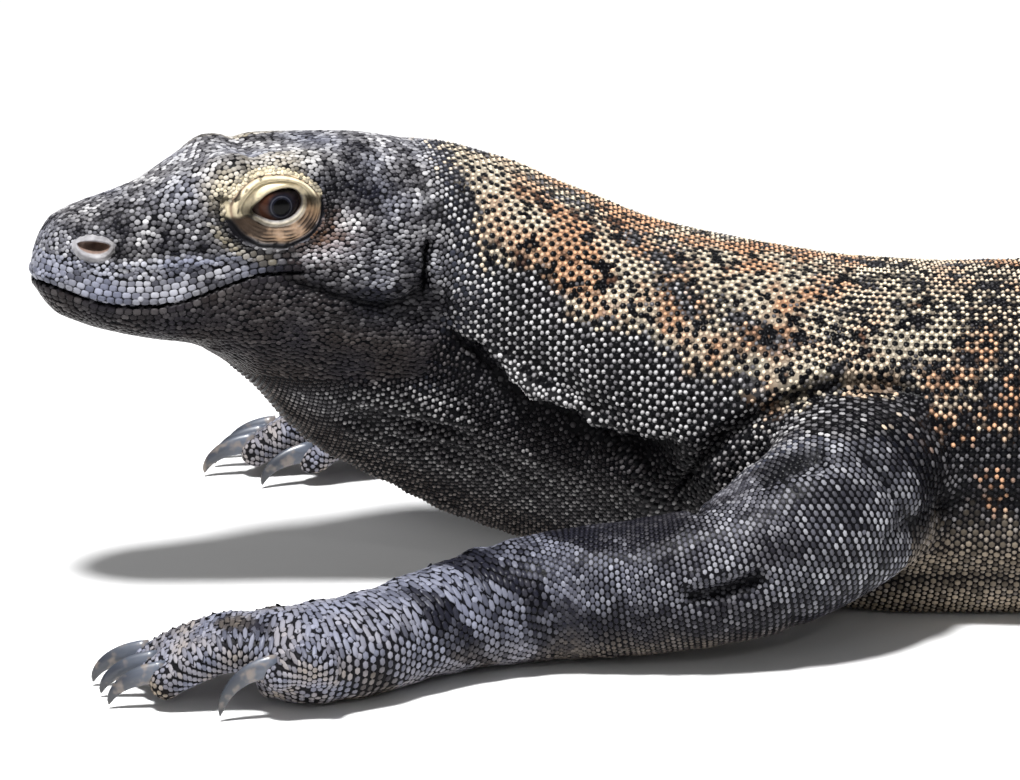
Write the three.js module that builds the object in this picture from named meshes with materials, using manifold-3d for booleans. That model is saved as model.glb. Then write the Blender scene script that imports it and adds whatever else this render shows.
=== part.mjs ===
// A young adult komodo dragon at life size, in millimetres. It lies on its belly with the head raised.
// The animal faces -X, its left flank is at -Y, and Z = 0 is the ground.
// The origin is on the belly's flat, halfway along the trunk.
import * as THREE from "three";
import { mergeVertices } from "three/addons/utils/BufferGeometryUtils.js";
import Module from "manifold-3d";

const wasm = await Module();
wasm.setup();

// Driving dimensions
const GAP = 0.3; // left between pieces that touch
const FOLD_GAP = 0.8; // under the neck's lower fold, above the throat
const HEAD_LENGTH = 158; // snout tip to ear
const HEAD_YAW = THREE.MathUtils.degToRad(16); // the head turns this far to its own left
const HEAD_LEVEL = 144.5; // height of the snout tip above the ground
const EAR_X = -447; // the middle of the head, level with the ears
const BODY_SIDES = 16;
const THROAT_SIDES = 12;
const HEAD_STEPS = 3; // facets between two corners of a head section
const LIMB_SIDES = 10;
const JOINT_SIDES = 8;
const DIGIT_SIDES = 6;
const CLAW_SIDES = 4;
const FAR_ARM_BACK = 32; // the right hand lies this far behind the left one
const FAR_ARM_IN = 14; // and this much closer to the middle
const FAR_LEG_BACK = 26; // the right foot lies this far behind the left one

// Body stations: x, y, z of the widest level, half width, height above it, depth below it.
const BODY = [
  [-483, -10, 155, 34, 33, 28],
  [-464, -5, 152, 41, 37, 33],
  [-447, 0, 148, 44.8, 41.8, 36],
  [-425, 4, 142, 50, 44.3, 36],
  [-400, 6, 131, 54, 46.8, 36],
  [-372, 6, 117, 60, 47.6, 36],
  [-340, 4, 102, 67, 50, 42],
  [-310, 2, 88, 73, 57, 62],
  [-280, 1, 74, 78, 65.7, 76],
  [-250, 0, 66, 81, 70.2, 76],
  [-200, 0, 60, 85, 74, 70],
  [-100, 0, 58, 89, 78, 68],
  [0, 0, 57, 91, 79, 67],
  [100, 0, 57, 88, 78, 66],
  [195, 0, 57, 80, 74, 64],
  [265, 0, 56, 69, 69, 61],
  [315, 0, 53, 60, 63, 57],
  [370, 1, 47, 51, 54, 50],
  [450, 8, 39.5, 41, 45, 42],
  [560, 26, 33, 33, 38, 35],
  [700, 56, 27.5, 26, 31.5, 29],
  [860, 94, 22.5, 19.5, 26, 23.7],
  [1030, 128, 18, 14, 21, 19],
  [1200, 148, 14, 10, 15.5, 14.9],
  [1360, 150, 10, 6.8, 11, 10.7],
  [1490, 138, 6.6, 4.2, 7, 7.1],
  [1570, 124, 3.6, 2.3, 3.6, 3.9],
  [1605, 116, 1.7, 1, 1.6, 1.9],
];
const BODY_ROUND = [2.2, 3]; // how square a section is above and below its widest level
// Where the body is parted: node, first and last station, sections to a station, colour
const BODY_PARTS = [
  ["neck", 0, 6.5, 1.55, 0x6b5f50],
  ["trunk_front", 6.5, 12.4, 1.2, 0x6b5140],
  ["trunk_rear", 12.4, 17, 1.2, 0x4d4339],
  ["tail_base", 17, 20, 1.4, 0x47403a],
  ["tail_middle", 20, 23, 1.4, 0x47403a],
  ["tail_end", 23, 27, 1, 0x47403a],
];

// The throat pouch hangs under the jaw and the neck, and narrows to a keel.
const THROAT = [
  [-530, -24, 110, 22, 3, 4],
  [-518, -20, 116, 33, 10, 19],
  [-505, -17, 118.5, 38, 12, 35],
  [-487, -12, 119, 42, 20, 56.5],
  [-466, -6, 117, 45, 25, 69.5],
  [-445, 0, 112, 47, 25, 77],
  [-423, 4, 106, 49, 25, 83.5],
  [-400, 6, 97, 52, 25, 82.5],
  [-372, 6, 84, 56, 30, 79],
  [-342, 4, 70, 61, 30, 72],
  [-312, 2, 62, 64, 30, 64],
  [-290, 1, 60, 60, 30, 62],
];
const THROAT_ROUND = [2, 1.5];

// Head stations, from the snout tip back: distance, top, brow edge (out, up), cheek (out, up), jaw edge (out, up),
// chin. Heights are measured from the level of the snout tip.
const HEAD = [
  [0, 21, 13, 18, 20, -3, 14, -14, -16.8],
  [12, 23.5, 15, 20, 22, 0, 17, -16, -20],
  [25, 28, 17, 23, 25, 0, 21, -19, -25.6],
  [45, 34, 20, 28, 28, 2, 26, -23, -31],
  [65, 42, 23, 38, 31, 2, 30, -26, -34],
  [84, 46, 27, 45, 34, 3, 34, -27, -36],
  [100, 47, 29, 44.5, 36.5, 4, 37, -26, -38],
  [118, 49, 30, 43, 41, 7, 41, -22, -37],
  [137, 50, 31, 40, 45, 10, 42, -18, -33],
  [157, 47, 33, 33, 46.5, 12, 42, -15, -28],
  [173, 42, 30, 28, 42, 12, 38, -12, -22],
];
const HEAD_CUTS = [0.3, 1.6, 4.5, 9, 15, 24, 36, 49, 62, 74, 86, 98, 111, 125, 140, 155, 163, 168, 172];
const SNOUT_PLAN = [26, 2]; // how far back the snout's rounding reaches seen from above, and its roundness
const SNOUT_SIDE = [12, 1.6]; // the same, seen from the side
const HEAD_BACK = [157, 16, 2.4]; // where the back of the head starts to close, over what length, how round
// The mouth line on the head's side, then the way the jaw is parted behind the corner of the mouth
const MOUTH = [
  [-8, -6.5],
  [9, -8.4],
  [24, -12.1],
  [50, -15.3],
  [77, -11.6],
  [98, -4.2],
  [109, 0],
];
const JAW_BACK = [
  [117, -2],
  [123, -12],
  [125, -60],
];
const MOUTH_OPEN = 0.5;
const NAPE = 166; // distance at which a plane parts the head from the neck
const EYE = { at: [100, 19.5, 28.7], radius: 12.5 };
// Hollows on both sides of the head
const HOLLOWS = [
  [[100, 36.5, 28.7], [13.5, 10.5, 9.5]], // eye opening
  [[22.7, 24, 15], [5.6, 4, 3]], // nostril
  [[159.5, 48, 3], [2.6, 6.5, 12.5]], // ear slit
];

// Left arm stations, from inside the shoulder to the palm: x, y, z, half width, half height
const ARM = [
  [-232, -32, 70, 28, 28],
  [-252, -72, 66, 36, 35.5],
  [-274, -100, 53, 35, 36],
  [-298, -114, 41, 32, 32],
  [-324, -120, 35, 29, 29],
  [-352, -120, 30.5, 28, 28],
  [-379, -119, 28, 27, 27],
  [-404, -125, 25.2, 26, 24.6],
  [-428, -137, 22.4, 24, 22.2],
  [-446, -150, 20.4, 24, 20.6],
  [-464, -162, 19.5, 27, 20],
  [-481, -168.5, 19, 28.5, 19.5],
  [-493, -170, 18.5, 23, 19],
  [-503, -171, 16, 18, 15],
];
const ARM_PARTS = [
  ["upper_arm", 0, 3],
  ["forearm", 3, 9],
  ["hand", 9, 13],
];
// Digits from the inner to the outer one: root x, root y, outward heading in degrees, length, radius, tip's lift
const HAND_DIGITS = [
  [-484, -152, -16, 36, 9, 0],
  [-498, -160, -5, 46, 9.5, 0],
  [-501, -170.5, -2, 39, 9.8, 0],
  [-499, -181.5, 1, 37, 9.8, 0],
  [-474, -193, 8, 18, 8.6, 7],
];
const HAND_RISE = [21, 24.5, 11.5]; // height of a digit's middle at its root, knuckle and tip
const HAND_CLAW = { length: 23, deep: 4.9, wide: 2.9, lift: 3.5 }; // lift above the digit's middle

// Left leg stations, from inside the hip to the ball of the foot
const LEG = [
  [308, -28, 62, 38, 38],
  [294, -56, 66, 41, 41],
  [270, -94, 68, 39, 39],
  [242, -128, 64, 33, 34],
  [218, -154, 56, 28, 29],
  [212, -173, 46, 26, 26],
  [232, -188, 36, 25, 25],
  [262, -200, 28, 23.5, 23.5],
  [296, -211, 20, 18.5, 18.5],
  [316, -222, 15.5, 16, 15],
  [310, -236, 13.5, 16, 14],
  [290, -248, 13, 19, 13.5],
  [266, -258, 12.5, 23, 13],
  [244, -266, 11.5, 24, 11.5],
  [234, -270, 10, 19, 8.5],
];
const LEG_PARTS = [
  ["thigh", 0, 5],
  ["shank", 5, 9],
  ["foot", 9, 14],
];
const FOOT_DIGITS = [
  [250, -250, 6, 34, 7, 0],
  [243, -257, 13, 47, 7.4, 0],
  [239, -264, 21, 60, 7.6, 0],
  [240, -272, 31, 70, 7.4, 0],
  [276, -266, 62, 42, 7, 0],
];
const FOOT_RISE = [11.5, 14.5, 8];
const FOOT_CLAW = { length: 17, deep: 4, wide: 2.5, lift: 2.5 };
const LIMB_ROUND = 2.2;
const JOINT_BALL = 0.95; // share of the limb's half size that rounds an elbow, wrist, knee or ankle
const DIGIT_TAPER = [1.1, 1, 0.96, 0.9]; // share of the radius from the root to the tip
const CLAW_TIP = 0.35; // half thickness of a claw's point
const CLAW_BEND = THREE.MathUtils.degToRad(85); // how far a claw turns down from its root to its point
const CLAW_DIP = 0.6; // how much of that turn its sections follow
const CLAW_TAPER = 0.7; // under 1, a claw stays thick for most of its length

// Curves and solids

const GROUND = new THREE.BoxGeometry(3000, 1400, 200).translate(400, 0, -100);

// Every column of the rows at a place between two of them, on a smooth curve through all rows.
function between(rows, keys, place) {
  const last = rows.length - 2;
  const found = keys.findIndex((key) => key > place);
  const i = Math.min(Math.max(found < 0 ? last : found - 1, 0), last);
  const span = keys[i + 1] - keys[i];
  const t = (place - keys[i]) / span;
  const slope = (k, column) => {
    const a = Math.max(k - 1, 0);
    const b = Math.min(k + 1, rows.length - 1);
    return ((rows[b][column] - rows[a][column]) / (keys[b] - keys[a])) * span;
  };
  return rows[i].map(
    (value, column) =>
      value * (1 + 2 * t) * (1 - t) ** 2 +
      rows[i + 1][column] * t * t * (3 - 2 * t) +
      slope(i, column) * t * (1 - t) ** 2 -
      slope(i + 1, column) * t * t * (1 - t),
  );
}

function solid(geometry) {
  const bare = geometry.clone();
  bare.deleteAttribute("normal");
  bare.deleteAttribute("uv");
  const merged = mergeVertices(bare, 1e-4);
  return new wasm.Manifold(
    new wasm.Mesh({
      numProp: 3,
      vertProperties: new Float32Array(merged.getAttribute("position").array),
      triVerts: new Uint32Array(merged.index.array),
    }),
  );
}

// A closed skin over rings of points, which all have the same number of points.
function skinned(rings) {
  const sides = rings[0].length;
  const middle = (ring) => ring.reduce((sum, p) => sum.add(p), new THREE.Vector3()).divideScalar(sides);
  const points = [...rings.flat(), middle(rings[0]), middle(rings.at(-1))];
  const faces = [];
  for (let r = 0; r + 1 < rings.length; r++) {
    for (let s = 0; s < sides; s++) {
      const a = r * sides + s;
      const b = r * sides + ((s + 1) % sides);
      faces.push(a, b, b + sides, a, b + sides, a + sides);
    }
  }
  const start = rings.length * sides;
  const end = (rings.length - 1) * sides;
  for (let s = 0; s < sides; s++) {
    const next = (s + 1) % sides;
    faces.push(start, next, s, start + 1, end + s, end + next);
  }
  const geometry = new THREE.BufferGeometry().setFromPoints(points);
  geometry.setIndex(faces);
  if (solid(geometry).volume() > 0) return geometry;
  for (let i = 0; i < faces.length; i += 3) [faces[i + 1], faces[i + 2]] = [faces[i + 2], faces[i + 1]];
  geometry.setIndex(faces);
  return geometry;
}

const power = (value, exponent) => Math.sign(value) * Math.abs(value) ** exponent;

// A rounded section across a path. Above and below its middle it may have another height and squareness.
function section(middle, side, up, sides, wide, high, deep, [squareAbove, squareBelow]) {
  return Array.from({ length: sides }, (_, i) => {
    const angle = (2 * Math.PI * (i + 0.5)) / sides;
    const above = Math.sin(angle) > 0;
    const exponent = 2 / (above ? squareAbove : squareBelow);
    return middle
      .clone()
      .addScaledVector(side, wide * power(Math.cos(angle), exponent))
      .addScaledVector(up, (above ? high : deep) * power(Math.sin(angle), exponent));
  });
}

const UP = new THREE.Vector3(0, 0, 1);

// A tube through stations x, y, z, half width, height, depth, from one station number to another.
// Its sections stand upright on the ground, or square to the path. It grows outward by the last value.
function tube(rows, from, to, { sides, steps, square, upright, grow = 0 }) {
  const keys = rows.map((_, index) => index);
  const count = Math.max(2, Math.round((to - from) * steps));
  const rings = [];
  for (let i = 0; i <= count; i++) {
    const place = from + ((to - from) * i) / count;
    const [x, y, z, wide, high, deep = high] = between(rows, keys, place);
    const ahead = between(rows, keys, place + 0.02);
    const behind = between(rows, keys, place - 0.02);
    const along = new THREE.Vector3(ahead[0] - behind[0], ahead[1] - behind[1], ahead[2] - behind[2]);
    if (upright) along.z = 0;
    along.normalize();
    const side = new THREE.Vector3().crossVectors(along, UP).normalize();
    const up = new THREE.Vector3().crossVectors(side, along);
    const trim = i === 0 ? GAP / 2 - grow : i === count ? grow - GAP / 2 : 0;
    const middle = new THREE.Vector3(x, y, z).addScaledVector(along, trim);
    rings.push(section(middle, side, up, sides, wide + grow, high + grow, deep + grow, square));
  }
  return solid(skinned(rings));
}

const ball = (middle, half, grow = 0, around = 12) =>
  new THREE.SphereGeometry(1, around, Math.ceil(around * 0.6))
    .rotateX(Math.PI / 2)
    .scale(half[0] + grow, half[1] + grow, half[2] + grow)
    .translate(...middle);

const union = (solids) => solids.reduce((sum, next) => sum.add(next));
const grounded = (shape) => shape.subtract(solid(GROUND));
const mirrored = ([back, out, up], side) => [back, -side * out, up]; // side is 1 on the animal's left

// Head, in its own frame: X runs back from the snout tip, and Y to the animal's right

const headPlace = new THREE.Matrix4()
  .makeTranslation(EAR_X, 0, HEAD_LEVEL)
  .multiply(new THREE.Matrix4().makeRotationZ(HEAD_YAW))
  .multiply(new THREE.Matrix4().makeTranslation(-HEAD_LENGTH, 0, 0));

const rounding = (distance, [length, roundness]) =>
  distance >= length ? 1 : (1 - (1 - distance / length) ** roundness) ** (1 / roundness);

function headSection(back, grow) {
  const keys = HEAD.map((row) => row[0]);
  const [, top, browOut, browUp, cheekOut, cheekUp, jawOut, jawUp, chin] = between(HEAD, keys, back);
  const [closeFrom, closeLength, closeRound] = HEAD_BACK;
  const closed = Math.max(0, back - closeFrom) / closeLength;
  const closing = (1 - closed ** closeRound) ** (1 / closeRound);
  const wide = rounding(back, SNOUT_PLAN) * closing;
  const high = rounding(back, SNOUT_SIDE) * closing;
  const half = [
    [browOut, browUp],
    [cheekOut, cheekUp],
    [jawOut, jawUp],
  ];
  const corners = [[0, top], ...half, [0, chin], ...half.toReversed().map(([out, up]) => [-out, up])];
  const centre = closing < 1 ? 10 : 0;
  const loop = new THREE.CatmullRomCurve3(
    corners.map(([out, up]) => new THREE.Vector3(back, out * wide, centre + (up - centre) * high)),
    true,
    "catmullrom",
    0.5,
  );
  const count = corners.length * HEAD_STEPS;
  return Array.from({ length: count }, (_, i) => {
    const point = loop.getPoint(i / count);
    const outward = new THREE.Vector3(0, point.y, point.z - centre).normalize();
    return point.addScaledVector(outward, grow);
  });
}

const headBlock = (grow = 0) => solid(skinned(HEAD_CUTS.map((back) => headSection(back, grow))));

// The thin curved wall that parts the jaw from the head
function mouthWall() {
  const line = new THREE.SplineCurve(MOUTH.map((p) => new THREE.Vector2(...p))).getPoints(9);
  line.push(...JAW_BACK.map((p) => new THREE.Vector2(...p)));
  const lean = new THREE.Vector2(MOUTH_OPEN * 0.5, MOUTH_OPEN * 0.87);
  const outline = new THREE.Shape([...line, ...line.toReversed().map((p) => p.clone().add(lean))]);
  const wide = 140;
  return new THREE.ExtrudeGeometry(outline, { depth: wide, bevelEnabled: false })
    .rotateX(Math.PI / 2)
    .translate(0, wide / 2, 0);
}

// All that lies behind the nape's plane, in the head's frame
const behindNape = (shift) => new THREE.BoxGeometry(400, 400, 400).translate(NAPE + shift + 200, 0, 0);

const bodyOptions = { sides: BODY_SIDES, square: BODY_ROUND, upright: true };
const neckTube = (grow = 0) => {
  const [, from, to, steps] = BODY_PARTS[0];
  return tube(BODY, from, to, { ...bodyOptions, steps, grow });
};

function headPieces() {
  const hollows = [1, -1].flatMap((side) => [
    ...HOLLOWS.map(([middle, half]) => solid(ball(mirrored(middle, side), half, 0, 8))),
    solid(ball(mirrored(EYE.at, side), Array(3).fill(EYE.radius), GAP)),
  ]);
  const parted = headBlock()
    .add(neckTube().transform(headPlace.clone().invert().elements))
    .subtract(solid(behindNape(-GAP / 2)))
    .subtract(union(hollows))
    .subtract(solid(mouthWall()))
    .decompose()
    .sort((a, b) => b.volume() - a.volume());
  const place = (shape) => shape.transform(headPlace.elements);
  const eyes = [1, -1].map((side) => solid(ball(mirrored(EYE.at, side), Array(3).fill(EYE.radius))));
  return { head: place(parted[0]), jaw: place(parted[1]), eyes: eyes.map(place) };
}

// Limbs. Each returns its pieces as pairs of name and solid.

// A digit and its claw, in the plan direction of the heading. Side is 1 on the animal's left.
function digit([x, y, heading, length, radius, lift], rise, claw) {
  const turn = THREE.MathUtils.degToRad(heading);
  const ahead = new THREE.Vector3(-Math.cos(turn), -Math.sin(turn), 0);
  const at = (share, z) => new THREE.Vector3(x, y, z).addScaledVector(ahead, length * share);
  const [rootZ, knuckleZ] = rise;
  const tipZ = rise[2] + lift;
  const joints = [at(-0.25, rootZ), at(0.3, knuckleZ), at(0.75, (knuckleZ + tipZ) / 2), at(1.04, tipZ)];
  const rows = joints.map((p, i) => [...p.toArray(), radius * DIGIT_TAPER[i], radius * DIGIT_TAPER[i]]);
  const flesh = tube(rows, 0, 3, { sides: DIGIT_SIDES, steps: 1, square: [2, 2], upright: true });
  const base = at(1.04, tipZ + claw.lift).addScaledVector(ahead, GAP);
  const clawAt = (share) => {
    const bend = share * CLAW_BEND;
    const drop = (base.z - CLAW_TIP - 0.4) * (1 - Math.cos(bend));
    const reach = claw.length * Math.sin(bend);
    const middle = base.clone().addScaledVector(ahead, reach).addScaledVector(UP, -drop);
    const across = new THREE.Vector3().crossVectors(ahead, UP);
    const along = ahead.clone().multiplyScalar(Math.cos(bend)).addScaledVector(UP, -Math.sin(bend) * CLAW_DIP);
    along.normalize();
    const upward = new THREE.Vector3().crossVectors(across, along);
    const thin = (1 - share) ** CLAW_TAPER;
    const wide = CLAW_TIP + (claw.wide - CLAW_TIP) * thin;
    const deep = CLAW_TIP + (claw.deep - CLAW_TIP) * thin;
    return section(middle, across, upward, CLAW_SIDES, wide, deep, deep, [2, 2]);
  };
  return { flesh, horn: solid(skinned([0, 0.3, 0.65, 1].map(clawAt))) };
}

function limb({ rows, parts, digits, rise, claw, side, place }) {
  const placed = rows.map(([x, y, z, wide, high], i) => {
    const share = Math.min(1, i / parts.at(-1)[1]);
    return [...place(x, y, share), z, wide, high];
  });
  const options = { sides: LIMB_SIDES, steps: 1, square: [LIMB_ROUND, LIMB_ROUND] };
  const name = side > 0 ? "left" : "right";
  const toes = digits.map(([x, y, heading, ...rest]) => {
    const root = place(x, y, 1);
    return digit([...root, heading * side, ...rest], rise, claw);
  });
  const stretch = ([, from, to], grow) => {
    const shape = tube(placed.slice(from, to + 1), 0, to - from, { ...options, grow });
    if (to === placed.length - 1) return shape;
    const [x, y, z, wide, high] = placed[to];
    const half = Math.min(wide, high) * JOINT_BALL;
    return shape.add(solid(ball([x, y, z], [half, half, half], grow, JOINT_SIDES)));
  };
  const rooms = parts.map((part) => stretch(part, GAP));
  const pieces = parts.map((part, i) => {
    const cut = rooms.slice(0, i).reduce((shape, room) => shape.subtract(room), stretch(part, 0));
    return [`${part[0]}_${name}`, cut];
  });
  const sole = pieces.at(-1);
  sole[1] = toes.reduce((shape, toe) => shape.add(toe.flesh), sole[1]);
  const claws = toes.map((toe, i) => [`claw_${parts.at(-1)[0]}_${name}_${i + 1}`, toe.horn]);
  return { pieces, claws, rooms };
}

const arm = (side) =>
  limb({
    rows: ARM,
    parts: ARM_PARTS,
    digits: HAND_DIGITS,
    rise: HAND_RISE,
    claw: HAND_CLAW,
    side,
    place: (x, y, share) => (side > 0 ? [x, y] : [x + FAR_ARM_BACK * share, -(y + FAR_ARM_IN * share)]),
  });

const leg = (side) =>
  limb({
    rows: LEG,
    parts: LEG_PARTS,
    digits: FOOT_DIGITS,
    rise: FOOT_RISE,
    claw: FOOT_CLAW,
    side,
    place: (x, y, share) => (side > 0 ? [x, y] : [x + FAR_LEG_BACK * share, -y]),
  });

// The whole animal

const dragon = new THREE.Group();

function add(name, shape, color, roughness = 0.75) {
  const mesh = shape.getMesh();
  const geometry = new THREE.BufferGeometry();
  geometry.setAttribute("position", new THREE.BufferAttribute(mesh.vertProperties, 3));
  geometry.setIndex(new THREE.BufferAttribute(mesh.triVerts, 1));
  const node = new THREE.Mesh(geometry, new THREE.MeshStandardMaterial({ color, roughness, metalness: 0 }));
  node.name = name;
  dragon.add(node);
}

const HIDE = 0x54525a;
const CLAW = 0x5d6675;
const EYE_COLOUR = 0x1c120d;

const { head, jaw, eyes } = headPieces();
add("head", head, HIDE);
add("lower_jaw", jaw, HIDE);
add("eye_left", eyes[0], EYE_COLOUR, 0.1);
add("eye_right", eyes[1], EYE_COLOUR, 0.1);

const limbs = [arm(1), arm(-1), leg(1), leg(-1)];
for (const { pieces, claws } of limbs) {
  for (const [name, shape] of pieces) add(name, grounded(shape), HIDE);
  for (const [name, shape] of claws) add(name, grounded(shape), CLAW, 0.35);
}

const limbRoom = union(limbs.flatMap((one) => one.rooms));
const nape = solid(behindNape(GAP / 2)).transform(headPlace.elements);
const neck = headBlock().transform(headPlace.elements).add(neckTube()).intersect(nape);
add("neck", grounded(neck.subtract(limbRoom)), BODY_PARTS[0][4]);
for (const [name, from, to, steps, color] of BODY_PARTS.slice(1)) {
  const shape = tube(BODY, from, to, { ...bodyOptions, steps });
  add(name, grounded(shape.subtract(limbRoom)), color);
}

const headRoom = headBlock(GAP).transform(headPlace.elements);
const neckRoom = neckTube(FOLD_GAP);
const [, trunkFrom, trunkTo, trunkSteps] = BODY_PARTS[1];
const trunkRoom = tube(BODY, trunkFrom, trunkTo, { ...bodyOptions, steps: trunkSteps, grow: GAP });
const throatOptions = { sides: THROAT_SIDES, steps: 1, square: THROAT_ROUND, upright: true };
const throat = tube(THROAT, 0, THROAT.length - 1, throatOptions);
const rooms = union([headRoom, neckRoom, trunkRoom, limbRoom]);
add("throat", grounded(throat.subtract(rooms)), HIDE);

export default dragon;
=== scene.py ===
# %% [markdown]
# # A komodo dragon at rest
# A young adult lies on its belly with its head raised and turned a little to its left. The lesson makes one
# closed skin for the whole animal, lays some seventy-five thousand small scales over it, and adds the eyes,
# the claws and a plain studio.

import math

import bmesh
import bpy
import numpy as np
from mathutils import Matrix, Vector
from mathutils.bvhtree import BVHTree
from mathutils.kdtree import KDTree


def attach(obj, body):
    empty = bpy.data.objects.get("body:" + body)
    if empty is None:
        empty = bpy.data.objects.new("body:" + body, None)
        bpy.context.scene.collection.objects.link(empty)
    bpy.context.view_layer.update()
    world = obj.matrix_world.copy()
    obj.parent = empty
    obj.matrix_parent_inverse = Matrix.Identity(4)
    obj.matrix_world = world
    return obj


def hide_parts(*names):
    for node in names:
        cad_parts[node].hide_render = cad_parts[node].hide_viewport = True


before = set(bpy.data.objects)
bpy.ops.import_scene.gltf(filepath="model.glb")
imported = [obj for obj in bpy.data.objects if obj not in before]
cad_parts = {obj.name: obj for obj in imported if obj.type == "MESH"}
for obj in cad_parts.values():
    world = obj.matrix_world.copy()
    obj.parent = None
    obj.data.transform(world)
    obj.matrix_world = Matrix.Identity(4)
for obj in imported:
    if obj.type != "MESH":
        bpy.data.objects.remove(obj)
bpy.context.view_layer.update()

# %% [markdown]
# ## Stations of the body
# A body is easiest to describe as stations along a path: where the middle lies, and how far the surface is
# to the side, above and below. The numbers are in millimetres and become metres when a mesh is made. The skin
# lies COAT deeper than the finished animal, so that the scales on it come out to the true size.

# %% Stations
MM = 0.001
COAT = 1.1  # how deep the skin lies within the finished animal
GROUND = 1.2  # the lowest that the skin may lie, so that the scales under it reach the floor
BODY = [  # x, y and z of the middle, half width, height above it, depth below it
    [-483, -10, 155, 34, 33, 28], [-464, -5, 152, 41, 37, 33], [-447, 0, 148, 44.8, 41.8, 36],
    [-425, 4, 142, 50, 44.3, 36], [-400, 6, 131, 54, 46.8, 36], [-372, 6, 117, 60, 47.6, 36],
    [-340, 4, 102, 67, 50, 42], [-310, 2, 88, 73, 57, 62], [-280, 1, 74, 78, 65.7, 76],
    [-250, 0, 66, 81, 70.2, 76], [-200, 0, 60, 85, 74, 70], [-100, 0, 58, 89, 78, 68],
    [0, 0, 57, 91, 79, 67], [100, 0, 57, 88, 78, 66], [195, 0, 57, 80, 74, 64], [265, 0, 56, 69, 69, 61],
    [315, 0, 53, 60, 63, 57], [370, 1, 47, 51, 54, 50], [450, 8, 39.5, 41, 45, 42],
    [560, 26, 33, 33, 38, 35], [700, 56, 27.5, 26, 31.5, 29], [860, 94, 22.5, 19.5, 26, 23.7],
    [1030, 128, 18, 14, 21, 19], [1200, 148, 14, 10, 15.5, 14.9], [1360, 150, 10, 6.8, 11, 10.7],
    [1490, 138, 6.6, 4.2, 7, 7.1], [1570, 124, 3.6, 2.3, 3.6, 3.9], [1605, 116, 1.7, 1, 1.6, 1.9],
]
THROAT = [  # as for the body
    [-530, -24, 110, 22, 3, 4], [-518, -20, 116, 33, 10, 19], [-505, -17, 118.5, 38, 12, 35],
    [-487, -12, 119, 42, 20, 56.5], [-466, -6, 117, 45, 25, 69.5], [-445, 0, 112, 47, 25, 77],
    [-423, 4, 106, 49, 25, 83.5], [-400, 6, 97, 52, 25, 82.5], [-372, 6, 84, 56, 30, 79],
    [-342, 4, 70, 61, 30, 72], [-312, 2, 62, 64, 30, 64], [-290, 1, 60, 60, 30, 62],
]
HEAD = [  # back, crown, brow out, brow up, cheek out, cheek up, jaw out, jaw up, chin
    [0, 21, 13, 18, 20, -3, 14, -14, -16.8], [12, 23.5, 15, 20, 22, 0, 17, -16, -20],
    [25, 28, 17, 23, 25, 0, 21, -19, -25.6], [45, 34, 20, 28, 28, 2, 26, -23, -31],
    [65, 42, 23, 38, 31, 2, 30, -26, -34], [84, 46, 27, 45, 34, 3, 34, -27, -36],
    [100, 47, 29, 44.5, 36.5, 4, 37, -26, -38], [118, 49, 30, 43, 41, 7, 41, -22, -37],
    [137, 50, 31, 40, 45, 10, 42, -18, -33], [157, 47, 33, 33, 46.5, 12, 42, -15, -28],
    [173, 42, 30, 28, 42, 12, 38, -12, -22],
]
ARM = [  # x, y and z of the middle, half width, half height
    [-232, -32, 70, 28, 28], [-252, -72, 66, 36, 35.5], [-274, -100, 53, 35, 36], [-298, -114, 41, 32, 32],
    [-324, -120, 35, 29, 29], [-352, -120, 30.5, 28, 28], [-379, -119, 28, 27, 27], [-404, -125, 25.2, 26, 24.6],
    [-428, -137, 22.4, 24, 22.2], [-446, -150, 20.4, 24, 20.6], [-464, -162, 19.5, 27, 20],
    [-481, -168.5, 19, 28.5, 19.5], [-493, -170, 18.5, 23, 19], [-503, -171, 16, 18, 15],
]
LEG = [  # as for the arm
    [308, -28, 62, 38, 38], [294, -56, 66, 41, 41], [270, -94, 68, 39, 39], [242, -128, 64, 33, 34],
    [218, -154, 56, 28, 29], [212, -173, 46, 26, 26], [232, -188, 36, 25, 25], [262, -200, 28, 23.5, 23.5],
    [296, -211, 20, 18.5, 18.5], [316, -222, 15.5, 16, 15], [310, -236, 13.5, 16, 14],
    [290, -248, 13, 19, 13.5], [266, -258, 12.5, 23, 13], [244, -266, 11.5, 24, 11.5], [234, -270, 10, 19, 8.5],
]
HAND_DIGITS = [  # x and y of the root, heading in degrees, length, radius, lift of the tip
    [-484, -152, -16, 36, 9, 0], [-498, -160, -5, 46, 9.5, 0], [-501, -170.5, -2, 39, 9.8, 0],
    [-499, -181.5, 1, 37, 9.8, 0], [-474, -193, 8, 18, 8.6, 7],
]
FOOT_DIGITS = [  # as for the hand
    [250, -250, 6, 34, 7, 0], [243, -257, 13, 47, 7.4, 0], [239, -264, 21, 60, 7.6, 0],
    [240, -272, 31, 70, 7.4, 0], [276, -266, 62, 42, 7, 0],
]

# %% Both kinds of limb
LIMBS = {
    "arm": dict(rows=ARM, cuts=[0, 3, 9, 13], digits=HAND_DIGITS, rise=[21, 24.5, 11.5], back=32, closer=14,
                claw=dict(length=23, deep=4.9, wide=2.9, lift=3.5)),
    "leg": dict(rows=LEG, cuts=[0, 5, 9, 14], digits=FOOT_DIGITS, rise=[11.5, 14.5, 8], back=26, closer=0,
                claw=dict(length=17, deep=4, wide=2.5, lift=2.5)),
}
print("stations", len(BODY), len(THROAT), len(HEAD), len(ARM), len(LEG))

# %% [markdown]
# ## From stations to smooth tubes
# Between two stations every number follows one smooth cubic curve, which is what a sculptor's calipers
# would find on a living body. A ring is a rounded square: an exponent of 2 is an ellipse, and a larger one
# fills its corners.

# %% Smooth values between stations
def curved(a, b, slope_a, slope_b, t):
    """Hermite's cubic curve from a to b with these slopes at its ends."""
    return (a * (1 + 2 * t) * (1 - t) ** 2 + b * t * t * (3 - 2 * t)
            + slope_a * t * (1 - t) ** 2 - slope_b * t * t * (1 - t))


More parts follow.
